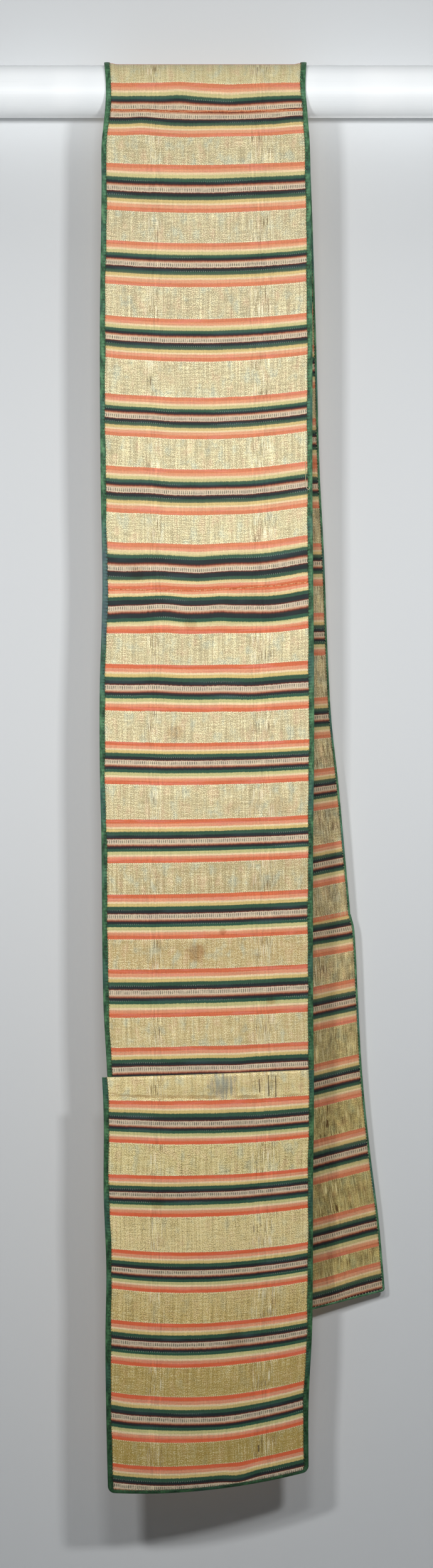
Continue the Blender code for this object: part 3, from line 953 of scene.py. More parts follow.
def worn_gold(recipe, cloth, gold):
    """The gold after years of folding, with painted highlights along the folds and painted shade in one
    crease. Gives its colour and the worn spots and the shaded crease, for the relief.
    """
    place = cloth.place
    back_streaks = recipe.between(cloth.along, 450.0, 700.0) * recipe.between(cloth.across, 20.0, 60.0)
    fold = cloth.left_fold + cloth.right_fold + back_streaks
    broken = recipe.patches(place, 60, 30, 0.35, 0.6, detail=0.0, seed=32.0)
    worn = fold * broken * recipe.patches(place, 1100, 60, 0.58, 0.7, detail=0.0, seed=31.0)
    # Painted highlights: light lines along the same folds
    fold_highlight = fold * recipe.patches(place, 1100, 50, 0.58, 0.7, detail=0.0, seed=33.0)
    streak = recipe.noise(place, 150, 60, detail=3.0, seed=35.0) - 0.5
    gold = recipe.scaled(gold, 0.93 + cloth.behind * streak * 1.7)
    gold = recipe.mix(fold_highlight * 0.5, gold, seen(255, 246, 214))
    gold = recipe.mix(worn * 0.7, gold, seen(112, 90, 56))
    for cut in CUTS:
        gold = recipe.mix(slit(recipe, cloth, cut) * 0.85, gold, seen(70, 54, 38))

    # A bluish worn patch, and painted brown shade in a crease at the top of the front end, where the lapped
    # seam's underlap ends
    patch = spot(recipe, cloth, cloth.wobble * PATCH_UNEVEN, PATCH_AT, PATCH_SIZE)
    patch = patch * recipe.patches(place, 260, 30, 0.3, 0.62, detail=1.0, seed=42.0)
    gold = recipe.mix(patch * 0.6, gold, seen(112, 124, 128))
    crease_line = cloth.along + cloth.across * CREASE_SHADE_SLANT + cloth.wobble * CREASE_SHADE_UNEVEN
    crease_shade = near_seam(recipe, crease_line, CREASE_SHADE_AT, CREASE_SHADE_REACH)
    crease_shade = crease_shade * recipe.patches(place, 30, 30, 0.3, 0.6, detail=0.0, seed=43.0)
    gold = recipe.mix(crease_shade * 0.55, gold, seen(150, 110, 52))

    dots = recipe.between(cloth.beat.math("SINE", cloth.beat), -0.2, 0.6)
    edge = cloth.is_gold * (1 - recipe.between(cloth.nearest, 0.309, 0.317))
    return recipe.mix(edge * dots * 0.65, gold, seen(255, 246, 210)), worn, crease_shade


# %% [markdown]
# ## Marks of use
#
# Years of use left brown stains, rust-coloured lines along the seams, and a duller reverse. They lie over
# silk and gold alike, so they are added last. A stain can be moved by changing its row in the table.

# %% Seams, stains and the reverse
SEAM_TINTS = ((SEAM_FRONT, 0.6), (SEAM_ROD, 0.7), (SEAM_BACK, 0.6), (SEAM_BACK_END, 0.6))
SEAM_TINT_REACH = 1.7
SEAM_TINT_UNEVEN = 1.6


def marks_of_use(recipe, cloth, colour):
    """The whole cloth's colour with painted shade and highlights along the folds, rust seams and stains,
    and a duller back and reverse.
    """
    # Painted shade and highlights along the two old folds, over silk and gold alike
    fold_shading = recipe.noise(cloth.place, 420, 50, detail=2.0, seed=36.0) - 0.5
    colour = recipe.scaled(colour, 1 + (cloth.left_fold + cloth.right_fold) * fold_shading * 0.7)
    for seam, strength in SEAM_TINTS:
        line = near_seam(recipe, cloth.along + cloth.wobble * SEAM_TINT_UNEVEN, seam, SEAM_TINT_REACH)
        colour = recipe.mix(line * strength, colour, seen(204, 112, 66))
    for stain in STAINS:
        mark = spot(recipe, cloth, cloth.wobble, (stain.across, stain.along), stain.size)
        colour = recipe.mix(mark * stain.strength, colour, seen(190, 140, 88), "MULTIPLY")
    # The whole back hang is a little darker
    colour = recipe.mix(cloth.behind * 0.25, colour, seen(226, 214, 200), "MULTIPLY")
    dull = recipe.attribute("reverse") * (0.25 + cloth.is_gold * 0.3)
    colour = recipe.mix(dull, colour, seen(206, 196, 172), "MULTIPLY")
    browned = recipe.between(cloth.along, 1000.0, 1300.0) * cloth.is_gold
    return recipe.mix(browned * 0.5, colour, seen(252, 246, 176), "MULTIPLY")


# %% The striped silk material
def striped_silk():
    """The whole sash's cloth, face and reverse, read from the phase and the place on the cloth."""
    recipe = Recipe("striped_silk")
    cloth = read_cloth(recipe)
    stripes = aged_stripes(recipe, cloth, woven_stripes(recipe, cloth))
    gold, fleck, gilt_glint = gilt_threads(recipe, cloth)
    gold, worn, crease_shade = worn_gold(recipe, cloth, gold)
    colour = marks_of_use(recipe, cloth, recipe.mix(cloth.is_gold, stripes, gold))
    rib = recipe.noise(cloth.place, 90, 1500, detail=0.0, seed=51.0)
    relief = rib * 0.5 + fleck * cloth.is_gold * 0.8 - worn * 0.8 - crease_shade
    return recipe.finish({
        "Base Color": colour,
        "Metallic": cloth.is_gold * gilt_glint * 0.35,
        "Roughness": 0.6 - cloth.is_gold * 0.1 + cloth.slub * 0.1,
        "Normal": recipe.bump(relief, 0.5, 0.0004),
        "Specular IOR Level": 0.22,
        "Sheen Weight": 0.05,
        "Sheen Roughness": 0.4,
    })


silk = striped_silk()
print(f"striped silk: {len(silk.node_tree.nodes)} nodes")

# %% Making the six lengths
def dress(piece, slot, solid=None):
    """Hangs a piece on the sash's body and hides the solid that it stands for. The slot, which names its
    cloth, is not used.
    """
    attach(piece, BODY)
    if solid:
        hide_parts(solid)


for length in LENGTHS:
    piece = cloth_sheet(length, silk)
    dress(piece, "striped_silk", f"panel_{length.name}")
    print(f"{piece.name}: {len(piece.data.vertices)} points")

# %% [markdown]
# ## The green binding
#
# A narrow strip of green silk is folded over each edge, wide on the face and narrow on the reverse, and
# whip stitched through. Each stitch pinches the strip, so its inner edge is scalloped and it puffs a
# little in between. It is swept along the edge as a closed profile, with four rows to each stitch. At the
# front hem the strip turns round two soft corners without a join.

# %% The strip's profile: how far in from the fold, and how far out of the cloth's middle
SIDE_FLAP = 6.3
HEM_FLAP = 4.2
BACK_FLAP = 2.6
STITCH_STEP = 3.65
ROWS_TO_A_STITCH = 4
STITCH_SPACING = (0.82, 1.18)
STITCH_DEPTH = (0.6, 1.3)
PULL = np.array([0.0, 0.25, 1.0, 0.25])
PINCH_IN = 0.8
PINCH_DOWN = 0.5
PINCHED_ABOVE = 0.6
REVERSE_PINCH_IN = 0.4
REVERSE_PINCH_DOWN = 0.25
WAVE_ON_FACE = 0.5
WAVE_ON_FOLD = 0.3

Profile = namedtuple("Profile", "inset height")

FACE_FLAP = rows_of(Profile,
    (0.93, 0.50), (0.985, 0.66), (1.0, 0.98), (0.96, 1.30), (0.80, 1.56), (0.52, 1.68),
    (0.24, 1.62),
)
FOLD_OVER = rows_of(Profile,
    (0.62, 1.48), (0.18, 1.10), (0.0, 0.42), (0.0, -0.42), (0.18, -1.10), (0.62, -1.50),
)
REVERSE_FLAP = rows_of(Profile,
    (0.55, -1.62), (0.86, -1.52), (1.0, -1.10), (0.95, -0.60),
)
INSIDE = rows_of(Profile,
    (1.25, -0.50), (1.15, 0.0), (1.25, 0.50),
)


print("points round the strip:", len(FACE_FLAP + FOLD_OVER + REVERSE_FLAP + INSIDE))


# %% Rows along a strip, and the strip itself
def stitch_rows(start, end, generator):
    """Places along a binding, four to a stitch, with a pinch from 0 to 1 at each. Stitches are uneven."""
    count = max(2, round(abs(end - start) / STITCH_STEP))
    steps = generator.uniform(*STITCH_SPACING, count)
    marks = start + (end - start) * np.concatenate([[0.0], np.cumsum(steps) / steps.sum()])
    shares = np.arange(ROWS_TO_A_STITCH) / ROWS_TO_A_STITCH
    rows = (marks[:-1, None] + np.diff(marks)[:, None] * shares[None, :]).ravel()
    depth = generator.uniform(*STITCH_DEPTH, count)
    pinch = (depth[:, None] * PULL[None, :]).ravel()
    return np.append(rows, marks[-1]), np.append(pinch, 0.0)


def sweep(name, run, edge, inward, flaps, pinch, material, height_wave):
    """A closed strip along an edge. Edge and inward are places and directions, in millimetres across and
    along the cloth, for each row, and flaps is the face flap's width there."""
    insets = []
    heights = []
    for point in FACE_FLAP:
        pull = point.inset**3
        insets.append(flaps * point.inset - PINCH_IN * pinch * pull)
        down = PINCH_DOWN * pinch * pull * (point.height > PINCHED_ABOVE)
        heights.append(point.height - down + height_wave * WAVE_ON_FACE)
    for point in FOLD_OVER:
        insets.append(np.full(len(pinch), point.inset))
        heights.append(point.height + height_wave * WAVE_ON_FOLD * np.sign(point.height))
    for point in REVERSE_FLAP:
        insets.append(BACK_FLAP * point.inset - REVERSE_PINCH_IN * pinch * point.inset**3)
        heights.append(point.height + REVERSE_PINCH_DOWN * pinch * point.inset**2)
    for point in INSIDE:
        insets.append(np.full(len(pinch), point.inset))
        heights.append(np.full(len(pinch), point.height))
    inset = np.stack(insets, axis=1)
    height = np.stack(heights, axis=1)
    along = edge[:, 1:2] + inward[:, 1:2] * inset
    half = width_at(run, along) / 2
    across = (edge[:, 0:1] * half + inward[:, 0:1] * inset) / half
    points = surface(run, along, across) + outward_at(run, along, across) * height[..., None]
    rows, columns = inset.shape
    faces = grid_faces(rows, columns, closed=True)
    onward = np.cumsum(np.full(inset.shape, STITCH_STEP / ROWS_TO_A_STITCH), axis=0)
    place = np.stack([inset, onward, height], axis=-1) * MM
    pinched = np.repeat(pinch[:, None], columns, axis=1) * (inset / flaps[:, None])
    attributes = (
        ("strip_place", "FLOAT_VECTOR", place),
        ("cloth_place", "FLOAT_VECTOR", np.stack([across * half * MM, along * MM, along * 0], axis=-1)),
        ("pinched", "FLOAT", pinched),
    )
    piece = put_mesh(name, points, faces, material, attributes)
    close_ends(piece.data, rows, columns)
    return piece


def close_ends(data, rows, columns):
    """Closes the two open ends of a swept strip."""
    mesh = bmesh.new()
    mesh.from_mesh(data)
    mesh.verts.ensure_lookup_table()
    first = [mesh.verts[index] for index in range(columns)]
    last = [mesh.verts[(rows - 1) * columns + index] for index in range(columns)]
    mesh.faces.new(first)
    mesh.faces.new(last)
    bmesh.ops.recalc_face_normals(mesh, faces=mesh.faces)
    mesh.to_mesh(data)
    mesh.free()
    data.shade_smooth()


# %% The green silk material
def green_silk():
    """Green silk strip, ribbed, with painted shade in the pinches, lighter towards the top and darker
    below, partly from a darker dye and partly painted shade.
    """
    recipe = Recipe("green_silk")
    strip = recipe.attribute("strip_place", "Vector")
    across, along = recipe.millimetres(recipe.attribute("cloth_place", "Vector"))
    pinched = recipe.attribute("pinched")
    dye = recipe.noise(strip, 180, 70, seed=1.0)
    thread = recipe.noise(strip, 1500, 260, detail=1.0, seed=2.0)
    green = recipe.ramp(dye * 0.65 + thread * 0.35, (
        (0.36, seen(26, 58, 36)),
        (0.5, seen(58, 104, 70)),
        (0.64, seen(98, 146, 104)),
    ))
    teal = recipe.patches(strip, 10, 14, 0.5, 0.64, detail=1.0, seed=3.0)
    green = recipe.mix(teal * 0.5, green, seen(62, 104, 100))
    slate = (1 - recipe.between(abs(along + 640), 40.0, 80.0)) * recipe.between(across, 0.0, -60.0)
    green = recipe.mix(slate * 0.6, green, seen(84, 102, 116))
    # Darker down the sash and darker still near the front hem: partly a darker dye, partly painted shade
    # where the light falls off
    low = recipe.between(along, -500.0, -1400.0)
    green = recipe.mix(low * 0.5, green, seen(160, 184, 146), "MULTIPLY")
    hem = recipe.between(along, -1500.0, -1660.0)
    green = recipe.mix(hem * 0.6, green, seen(130, 160, 140), "MULTIPLY")
    # Painted shade in the pinches of the stitches
    green = recipe.mix(pinched * 0.75, green, seen(20, 34, 22))
    rib = recipe.noise(strip, 1400, 300, detail=1.0, seed=4.0)
    return recipe.finish({
        "Base Color": green,
        "Roughness": 0.5 + thread * 0.2,
        "Normal": recipe.bump(rib - pinched * 0.6, 0.5, 0.0003),
        "Specular IOR Level": 0.25,
        "Sheen Weight": 0.06,
        "Sheen Roughness": 0.4,
    })


green = green_silk()

# %% The side bindings
SEED = 20
generator = np.random.default_rng(SEED)

Strip = namedtuple("Strip", "name run start end")

STRIPS = (
    Strip("front_end", FRONT_END_RUN, FRONT_HEM + FRONT_CORNER, SEAM_LAPPED),
    Strip("front", MAIN_RUN, SEAM_LAPPED + GAP, SEAM_ROD),
    Strip("over_rod", MAIN_RUN, SEAM_ROD, SEAM_BACK),
    Strip("back", MAIN_RUN, SEAM_BACK, SEAM_BACK_END),
    Strip("back_end", BACK_END_RUN, SEAM_BACK_END, BACK_HEM - BACK_CORNER),
)


SIDES_DIFFER = 40
WAVE_HEIGHT = 0.2
WIDTH_WAVES = ((0.35, 23.0, 0.0), (0.25, 9.1, 1.7), (0.15, 61.0, 0.4))


def waver(places, waves):
    """The unevenness of hand work: a sum of slow waves, each by its height, its length and its start."""
    return sum(height * np.sin(places / length + start) for height, length, start in waves)


stitch_marks = {}
for strip in STRIPS:
    for side, label in ((-1, "left"), (1, "right")):
        rows, pinch = stitch_rows(strip.start + GAP / 4, strip.end - GAP / 4, generator)
        edge = np.stack([np.full(len(rows), float(side)), rows], axis=1)
        inward = np.stack([np.full(len(rows), -float(side)), np.zeros(len(rows))], axis=1)
        wave = waver(rows + SIDES_DIFFER * side, WIDTH_WAVES)
        name = f"green_binding_{label}_{strip.name}"
        piece = sweep(name, strip.run, edge, inward, SIDE_FLAP + wave, pinch, green, wave * WAVE_HEIGHT)
        dress(piece, "green_silk", f"binding_{label}_{strip.name}")
        stitch_marks[name] = (strip.run, edge, inward, SIDE_FLAP + wave, pinch)


# %% The hem bindings, with their round corners
def hem_path(run, hem, corner, inward_along, generator):
    """The line of a hem with its two corners: the edge, the way in, and the share of each hem row that is
    round the corner."""
    half = float(width_at(run, hem)) / 2
    rows, pinch = stitch_rows(-half + corner, half - corner, generator)
    quarter_rows, quarter_pinch = stitch_rows(0.0, corner * math.pi / 2, generator)
    angle = quarter_rows / corner
    flat = np.stack([rows / half, np.full(len(rows), hem)], axis=1)
    flat_in = np.stack([np.zeros(len(rows)), np.full(len(rows), inward_along)], axis=1)
    sine, cosine = np.sin(angle), np.cos(angle)
    round_across = (-half + corner - corner * cosine) / half
    left = np.stack([round_across, hem + inward_along * corner * (1 - sine)], axis=1)
    left_in = np.stack([cosine, inward_along * sine], axis=1)
    right = left[::-1] * np.array([-1.0, 1.0])
    right_in = left_in[::-1] * np.array([-1.0, 1.0])
    edge = np.concatenate([left[:-1], flat, right[1:]])
    inward = np.concatenate([left_in[:-1], flat_in, right_in[1:]])
    pinch = np.concatenate([quarter_pinch[:-1], pinch, quarter_pinch[::-1][1:]])
    side_share = np.abs(inward[:, 0])
    return edge, inward, pinch, side_share


for label, run, hem, corner, inward_along in (
    ("front", FRONT_END_RUN, FRONT_HEM, FRONT_CORNER, 1.0),
    ("back", BACK_END_RUN, BACK_HEM, BACK_CORNER, -1.0),
):
    edge, inward, pinch, side_share = hem_path(run, hem, corner, inward_along, generator)
    flaps = HEM_FLAP + (SIDE_FLAP - HEM_FLAP) * side_share
    if inward_along < 0:
        edge, inward, pinch, flaps = edge[::-1], inward[::-1], pinch[::-1], flaps[::-1]
    name = f"green_binding_{label}_hem"
    piece = sweep(name, run, edge, inward, flaps, pinch, green, np.zeros(len(pinch)))
    dress(piece, "green_silk", f"binding_{label}_hem")
    stitch_marks[name] = (run, edge, inward, flaps, pinch)
    print(f"{name}: {len(pinch)} rows")

# %% [markdown]
# ## Stitches
#
# Nearly two thousand whip stitches hold the bindings, each with a short thread on the face and one on the
# reverse, and each seam between two lengths has its own row.
# A stitch is a short tube with four sides that rises out of the cloth, passes over the edge of the strip
# and goes back in. All those of one thread and place are made as a single mesh from arrays.

# %% Short tubes for stitches
THREAD_SHARES = np.array([0.0, 0.35, 0.65, 1.0])
THREAD_SIDES = 4


def thread_mesh(name, starts, tops, ends, radius, material):
    """One mesh of many short bent threads. Starts, tops and ends are points in millimetres."""
    shares = THREAD_SHARES[None, :, None]
    path = ((1 - shares) ** 2) * starts[:, None] + 2 * (1 - shares) * shares * tops[:, None]
    path = path + (shares**2) * ends[:, None]
    way = ends - starts
    way = way / np.linalg.norm(way, axis=1, keepdims=True)
    up = tops - (starts + ends) / 2
    up = up - way * (up * way).sum(axis=1, keepdims=True)
    up = up / np.linalg.norm(up, axis=1, keepdims=True)
    beside = np.cross(way, up)
    angles = np.arange(THREAD_SIDES) * 2 * math.pi / THREAD_SIDES
    ring = up[:, None] * np.cos(angles)[None, :, None] + beside[:, None] * np.sin(angles)[None, :, None]
    points = path[:, :, None] + ring[:, None] * radius
    one = grid_faces(len(THREAD_SHARES), THREAD_SIDES, closed=True)
    caps = np.array([[3, 2, 1, 0], [12, 13, 14, 15]])
    one = np.concatenate([one, caps])
    size = len(THREAD_SHARES) * THREAD_SIDES
    faces = (one[None] + (np.arange(len(starts)) * size)[:, None, None]).reshape(-1, 4)
    return put_mesh(name, points, faces, material)


def stitch_count(piece):
    """How many short threads a mesh has."""
    return len(piece.data.vertices) // (len(THREAD_SHARES) * THREAD_SIDES)


def on_cloth(run, across, along, height):
    """Points at a height out of the cloth's middle. Across is -1 to 1."""
    return surface(run, along, across) + outward_at(run, along, across) * height


def plain_thread(name, colour, other):
    """Sewing thread, a little uneven in its dye."""
    recipe = Recipe(name)
    dye = recipe.noise(recipe.node("ShaderNodeNewGeometry", give="Position"), 700, 700, detail=1.0)
    shade = recipe.mix(recipe.between(dye, 0.35, 0.65), colour, other)
    return recipe.finish({"Base Color": shade, "Roughness": 0.6, "Normal": recipe.bump(dye, 0.4, 0.0001)})


dark_thread = plain_thread("dark_thread", seen(44, 62, 38), seen(96, 84, 50))
light_thread = plain_thread("light_thread", seen(236, 226, 198), seen(190, 180, 140))

# %% The whip stitches along the bindings
FACE_STITCH_RADIUS = 0.22
REVERSE_STITCH_RADIUS = 0.19
PINCHED_FROM = 0.5
STITCH_LEAN = (-0.5, 0.7)

Bend = namedtuple("Bend", "beyond height slide")

STITCH_BENDS = rows_of(Bend, (1.0, 0.35, -0.5), (-0.2, 1.9, 0.0), (-1.5, 0.95, 0.5))


def whip_stitches(name, marks, reverse, material):
    """A stitch at each pinch of a binding, on its face or on its reverse."""
    run, edge, inward, flaps, pinch = marks
    at = np.flatnonzero(pinch > PINCHED_FROM)
    edge, inward, flaps = edge[at], inward[at], flaps[at]
    reach = np.full(len(at), BACK_FLAP) if reverse else flaps
    sign = -1.0 if reverse else 1.0
    lean = generator.uniform(*STITCH_LEAN, len(at))
    points = []
    for bend in STITCH_BENDS:
        inset = reach + bend.beyond
        along = edge[:, 1] + inward[:, 1] * inset + bend.slide * lean * np.abs(inward[:, 0])
        half = width_at(run, along) / 2
        over = bend.slide * lean * np.abs(inward[:, 1])
        across = (edge[:, 0] * half + inward[:, 0] * inset + over) / half
        points.append(on_cloth(run, across, along, sign * bend.height))
    radius = REVERSE_STITCH_RADIUS if reverse else FACE_STITCH_RADIUS
    return thread_mesh(name, *points, radius, material)


for name, marks in stitch_marks.items():
    for reverse, label, material in ((False, "face", dark_thread), (True, "reverse", light_thread)):
        made = whip_stitches(name.replace("green_binding", f"stitches_{label}"), marks, reverse, material)
        dress(made, "green_silk" if label == "face" else "striped_silk")
        print(f"{made.name}: {stitch_count(made)} stitches")

# %% The stitches across the seams
SEAM_STITCH_STEP = 2.4
SEAM_STITCH_RADIUS = 0.2
SEAM_STITCH_STRAY = 0.9
SEAM_STITCH_LEAN = 0.008
SEAM_STITCH_REACH = (0.7, 1.2)
SEAM_STITCH_FOOT = 0.2
SEAM_STITCH_TOP = 0.9
LAPPED_FOOT = -1.4
LAPPED_UP = 0.6
LAPPED_DOWN = 1.2
FROM_BINDING = 1.0

Seam = namedtuple("Seam", "name run along reach")

SEAMS = (
    Seam("rod", MAIN_RUN, SEAM_ROD, 1.1),
    Seam("front", MAIN_RUN, SEAM_FRONT, 1.1),
    Seam("lapped", FRONT_END_RUN, SEAM_LAPPED, 1.3),
    Seam("back", MAIN_RUN, SEAM_BACK, 1.1),
    Seam("back_end", MAIN_RUN, SEAM_BACK_END, 1.1),
)

rust_thread = plain_thread("rust_thread", seen(196, 104, 62), seen(232, 176, 130))


def seam_stitches(seam):
    """A row of stitches over a seam. Those of the lapped seam end on the cloth underneath."""
    lapped = seam.name == "lapped"
    half = float(width_at(seam.run, seam.along)) / 2 - SIDE_FLAP - FROM_BINDING
    count = round(2 * half / SEAM_STITCH_STEP)
    stray = generator.uniform(-SEAM_STITCH_STRAY, SEAM_STITCH_STRAY, count)
    across = (np.linspace(-half, half, count) + stray) / (half + SIDE_FLAP + FROM_BINDING)
    lean = generator.uniform(-SEAM_STITCH_LEAN, SEAM_STITCH_LEAN, count)
    reach = seam.reach * generator.uniform(*SEAM_STITCH_REACH, count)
    high = seam.along + reach * (LAPPED_UP if lapped else 1)
    low = seam.along - reach * (LAPPED_DOWN if lapped else 1)
    starts = on_cloth(seam.run, across - lean, low, SEAM_STITCH_FOOT)
    tops = on_cloth(seam.run, across, (high + low) / 2, SEAM_STITCH_TOP)
    foot_along = np.minimum(high, SEAM_LAPPED) if lapped else high
    ends = on_cloth(seam.run, across + lean, foot_along, LAPPED_FOOT if lapped else SEAM_STITCH_FOOT)
    material = light_thread if lapped else rust_thread
    return thread_mesh(f"stitches_seam_{seam.name}", starts, tops, ends, SEAM_STITCH_RADIUS, material)


for seam in SEAMS:
    made = seam_stitches(seam)
    dress(made, "striped_silk")
    print(f"{made.name}: {stitch_count(made)} stitches")

# %% A raised thread along each flat seam, and a loose end on the right binding
LINE_SIDES = 6
LINE_POINTS = 160
LINE_FROM_BINDING = 1.5
LINE_WAVES = ((0.35, 7.3, 0.0), (0.25, 3.1, 1.0))
LINE_THICKNESS = (0.85, 1.15)
SEAM_LINE_RADIUS = 0.46
SEAM_LINE_HEIGHT = 0.14
LOOSE_RADIUS = 0.3


def thread_line(name, points, radius, material):
    """A round thread along a line of points, in millimetres."""
    way = np.gradient(points, axis=0)
    way = way / np.linalg.norm(way, axis=1, keepdims=True)
    beside = np.cross(way, np.array([0.0, 1.0, 0.0]))
    beside = beside / np.linalg.norm(beside, axis=1, keepdims=True)
    up = np.cross(beside, way)
    angles = np.arange(LINE_SIDES) * 2 * math.pi / LINE_SIDES
    ring = up[:, None] * np.cos(angles)[None, :, None] + beside[:, None] * np.sin(angles)[None, :, None]
    faces = grid_faces(len(points), LINE_SIDES, closed=True)
    piece = put_mesh(name, points[:, None] + ring * np.reshape(radius, (-1, 1, 1)), faces, material)
    close_ends(piece.data, len(points), LINE_SIDES)
    return piece


for seam in SEAMS:
    if seam.name == "lapped":
        continue
    half = float(width_at(seam.run, seam.along)) / 2
    reach = half - SIDE_FLAP - LINE_FROM_BINDING
    beside = np.linspace(-reach, reach, LINE_POINTS)
    sway = waver(beside, LINE_WAVES)
    thick = SEAM_LINE_RADIUS * generator.uniform(*LINE_THICKNESS, LINE_POINTS)
    points = on_cloth(seam.run, beside / half, seam.along + sway, SEAM_LINE_HEIGHT)
    made = thread_line(f"seam_thread_{seam.name}", points, thick, rust_thread)
    dress(made, "striped_silk")
    print(f"{made.name}: {2 * reach:.0f} mm long")

# Points of the loose end: along the cloth, in from its right edge, and out of it
LOOSE_THREAD = (
    (-491.0, 8.6, 0.7), (-497.0, 8.0, 1.0), (-504.0, 7.8, 1.1), (-511.0, 8.0, 1.2), (-517.0, 8.3, 1.5),
    (-521.5, 8.0, 2.2), (-524.5, 6.6, 2.6), (-526.0, 5.0, 2.5), (-525.6, 3.8, 2.3), (-523.8, 3.4, 2.2),
)
along, inset, height = np.array(LOOSE_THREAD).T
half = width_at(MAIN_RUN, along) / 2
points = on_cloth(MAIN_RUN, 1 - inset / half, along, height[:, None])
made = thread_line("loose_thread", points, np.full(len(points), LOOSE_RADIUS), light_thread)
dress(made, "green_silk")
print(f"{made.name}: {len(points)} points")

# %% [markdown]
# ## The size each length was cut to
#
# A sheet that hangs doesn't stretch, so each length keeps the flat size it was cut to. The loop below works
# out that size, with the tongue of the lower front length.

# %% The cut of each length
for length in LENGTHS:
    cut = (length.end - length.start) * MM
    if length.name == "front_lower":
        cut += TONGUE * MM


# %% [markdown]
# ## The rod
#
# The rod keeps its solid. Its paint is satin white, brushed along its length, with a little dust, so that
# it doesn't look like plastic.

# %% White paint
def white_paint():
    """Brushed satin white paint."""
    recipe = Recipe("white_paint")
    position = recipe.node("ShaderNodeTexCoord", give="Object")
    brush = recipe.noise(position, 6, 700)
    cloudy = recipe.noise(position, 14, 14, seed=2.0)
    colour = recipe.mix(recipe.between(cloudy, 0.3, 0.75), seen(248, 251, 252), seen(240, 244, 246))
    colour = recipe.mix(recipe.between(brush, 0.6, 0.8) * 0.3, colour, seen(220, 224, 224))
    return recipe.finish({
        "Base Color": colour,
        "Roughness": 0.38 + cloudy * 0.12,
        "Normal": recipe.bump(brush, 0.15, 0.0003),
        "Specular IOR Level": 0.45,
    })


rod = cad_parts["rod"]
paint = white_paint()
for slot in rod.material_slots:
    slot.material = paint
print("rod painted")

# %% [markdown]
# ## Floor, wall and light
#
# A plain pale floor lies below the picture and a plain wall stands close behind the sash, so that the sash
# throws a soft shadow on it. The wall is made see-through from its back, so that the sash can be looked at
# from behind. Two lamps in front, to the right and to the left, give the two shadows beside the cloth. A
# third one between them and a weak one above soften them. A fifth one, behind the wall, lights the back
# hang when it is looked at from there.

# %% Floor and wall
FLOOR_HEIGHT = -2.5
FLOOR_REACH = 14.0
WALL_PLACE = 0.068
WALL_HALF_WIDTH = 2.6
WALL_TOP = 1.3


def backdrop_material(name, colour, one_sided):
    """Matt pale card, with a faint mottle."""
    recipe = Recipe(name)
    mottle = recipe.noise(recipe.node("ShaderNodeTexCoord", give="Object"), 3, 3, detail=3.0)
    shade = recipe.mix(mottle * 0.06, colour, seen(255, 255, 255))
    shader = recipe.node("ShaderNodeBsdfPrincipled", {}, {
        "Base Color": shade,
        "Roughness": 0.9,
        "Specular IOR Level": 0.1,
    })
    if one_sided:
        behind = recipe.node("ShaderNodeNewGeometry", give="Backfacing")
        to_a_light = recipe.node("ShaderNodeLightPath", give="Is Shadow Ray")
        clear = recipe.node("ShaderNodeBsdfTransparent")
        see_through = behind.math("MAXIMUM", behind, to_a_light)
        shader = recipe.node("ShaderNodeMixShader", {}, {0: see_through, 1: shader, 2: clear})
    recipe.node("ShaderNodeOutputMaterial", {}, {"Surface": shader})
    return recipe.material


def flat_card(name, corners, material):
    """A flat four-cornered card, with its corners in metres."""
    data = bpy.data.meshes.new(name)
    data.from_pydata(corners, [], [(0, 1, 2, 3)])
    data.materials.append(material)
    card = bpy.data.objects.new(name, data)
    bpy.context.scene.collection.objects.link(card)
    return card


pale_grey = seen(206, 209, 211)
flat_card("floor", [
    (-FLOOR_REACH, -FLOOR_REACH, FLOOR_HEIGHT),
    (FLOOR_REACH, -FLOOR_REACH, FLOOR_HEIGHT),
    (FLOOR_REACH, FLOOR_REACH, FLOOR_HEIGHT),
    (-FLOOR_REACH, FLOOR_REACH, FLOOR_HEIGHT),
], backdrop_material("pale_floor", pale_grey, False))
flat_card("wall", [
    (-WALL_HALF_WIDTH, WALL_PLACE, FLOOR_HEIGHT),
    (WALL_HALF_WIDTH, WALL_PLACE, FLOOR_HEIGHT),
    (WALL_HALF_WIDTH, WALL_PLACE, WALL_TOP),
    (-WALL_HALF_WIDTH, WALL_PLACE, WALL_TOP),
], backdrop_material("pale_wall", pale_grey, True))
print("floor and wall placed")

# %% Camera and lights
CAMERA_AWAY = 4.0
CAMERA_HEIGHT = -0.808
PICTURE_HIGH_METRES = 1.83
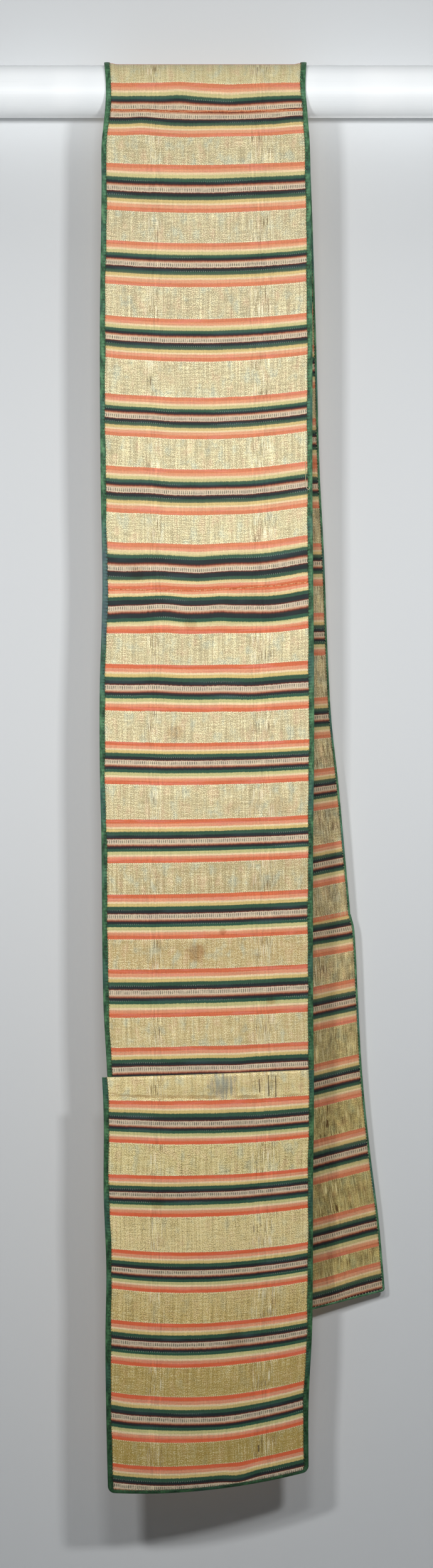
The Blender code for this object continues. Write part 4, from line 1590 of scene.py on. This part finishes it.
# The picture is taller than it is wide, so the camera's sensor is measured along its height
SENSOR = 36.0

camera_data = bpy.data.cameras.new("camera")
camera_data.sensor_width = SENSOR
camera_data.lens = SENSOR * CAMERA_AWAY / PICTURE_HIGH_METRES
camera = bpy.data.objects.new("camera", camera_data)
camera.location = (0.0, -CAMERA_AWAY, CAMERA_HEIGHT)
camera.rotation_euler = (math.pi / 2, 0.0, 0.0)
bpy.context.scene.collection.objects.link(camera)
bpy.context.scene.camera = camera
bpy.context.scene.view_settings.view_transform = "Standard"

Light = namedtuple("Light", "name place aim size power spread")

LIGHTS = (
    Light("right", (0.73, -1.87, -0.25), (0.5, 0.0, -0.7), (0.22, 0.15), 10.0, 130),
    Light("left", (-0.68, -1.87, -0.25), (-0.45, 0.0, -0.7), (0.22, 0.15), 9.3, 130),
    Light("middle", (0.0, -1.87, -0.25), (0.0, 0.0, -0.7), (0.3, 0.15), 4.5, 130),
    Light("top", (0.0, -0.35, 0.8), (0.0, 0.0, 0.0), (1.4, 0.4), 2.5, 180),
    Light("behind", (0.5, 2.4, -0.3), (0.0, 0.0, -0.8), (1.6, 1.6), 36.0, 180),
)


def add_light(light):
    """A soft rectangular light that faces its aim."""
    data = bpy.data.lights.new(light.name, "AREA")
    data.shape = "RECTANGLE"
    data.size = light.size[0]
    data.size_y = light.size[1]
    data.energy = light.power
    data.spread = math.radians(light.spread)
    lamp = bpy.data.objects.new(light.name, data)
    lamp.location = light.place
    direction = Vector(light.aim) - Vector(light.place)
    lamp.rotation_euler = direction.to_track_quat("-Z", "Y").to_euler()
    lamp.visible_camera = False
    bpy.context.scene.collection.objects.link(lamp)


for light in LIGHTS:
    add_light(light)

ROOM_LIGHT = 0.05
world = bpy.data.worlds.new("studio")
world.use_nodes = True
world.node_tree.nodes["Background"].inputs["Color"].default_value = seen(236, 240, 243)
world.node_tree.nodes["Background"].inputs["Strength"].default_value = ROOM_LIGHT
bpy.context.scene.world = world
print(f"{len(LIGHTS)} lights")
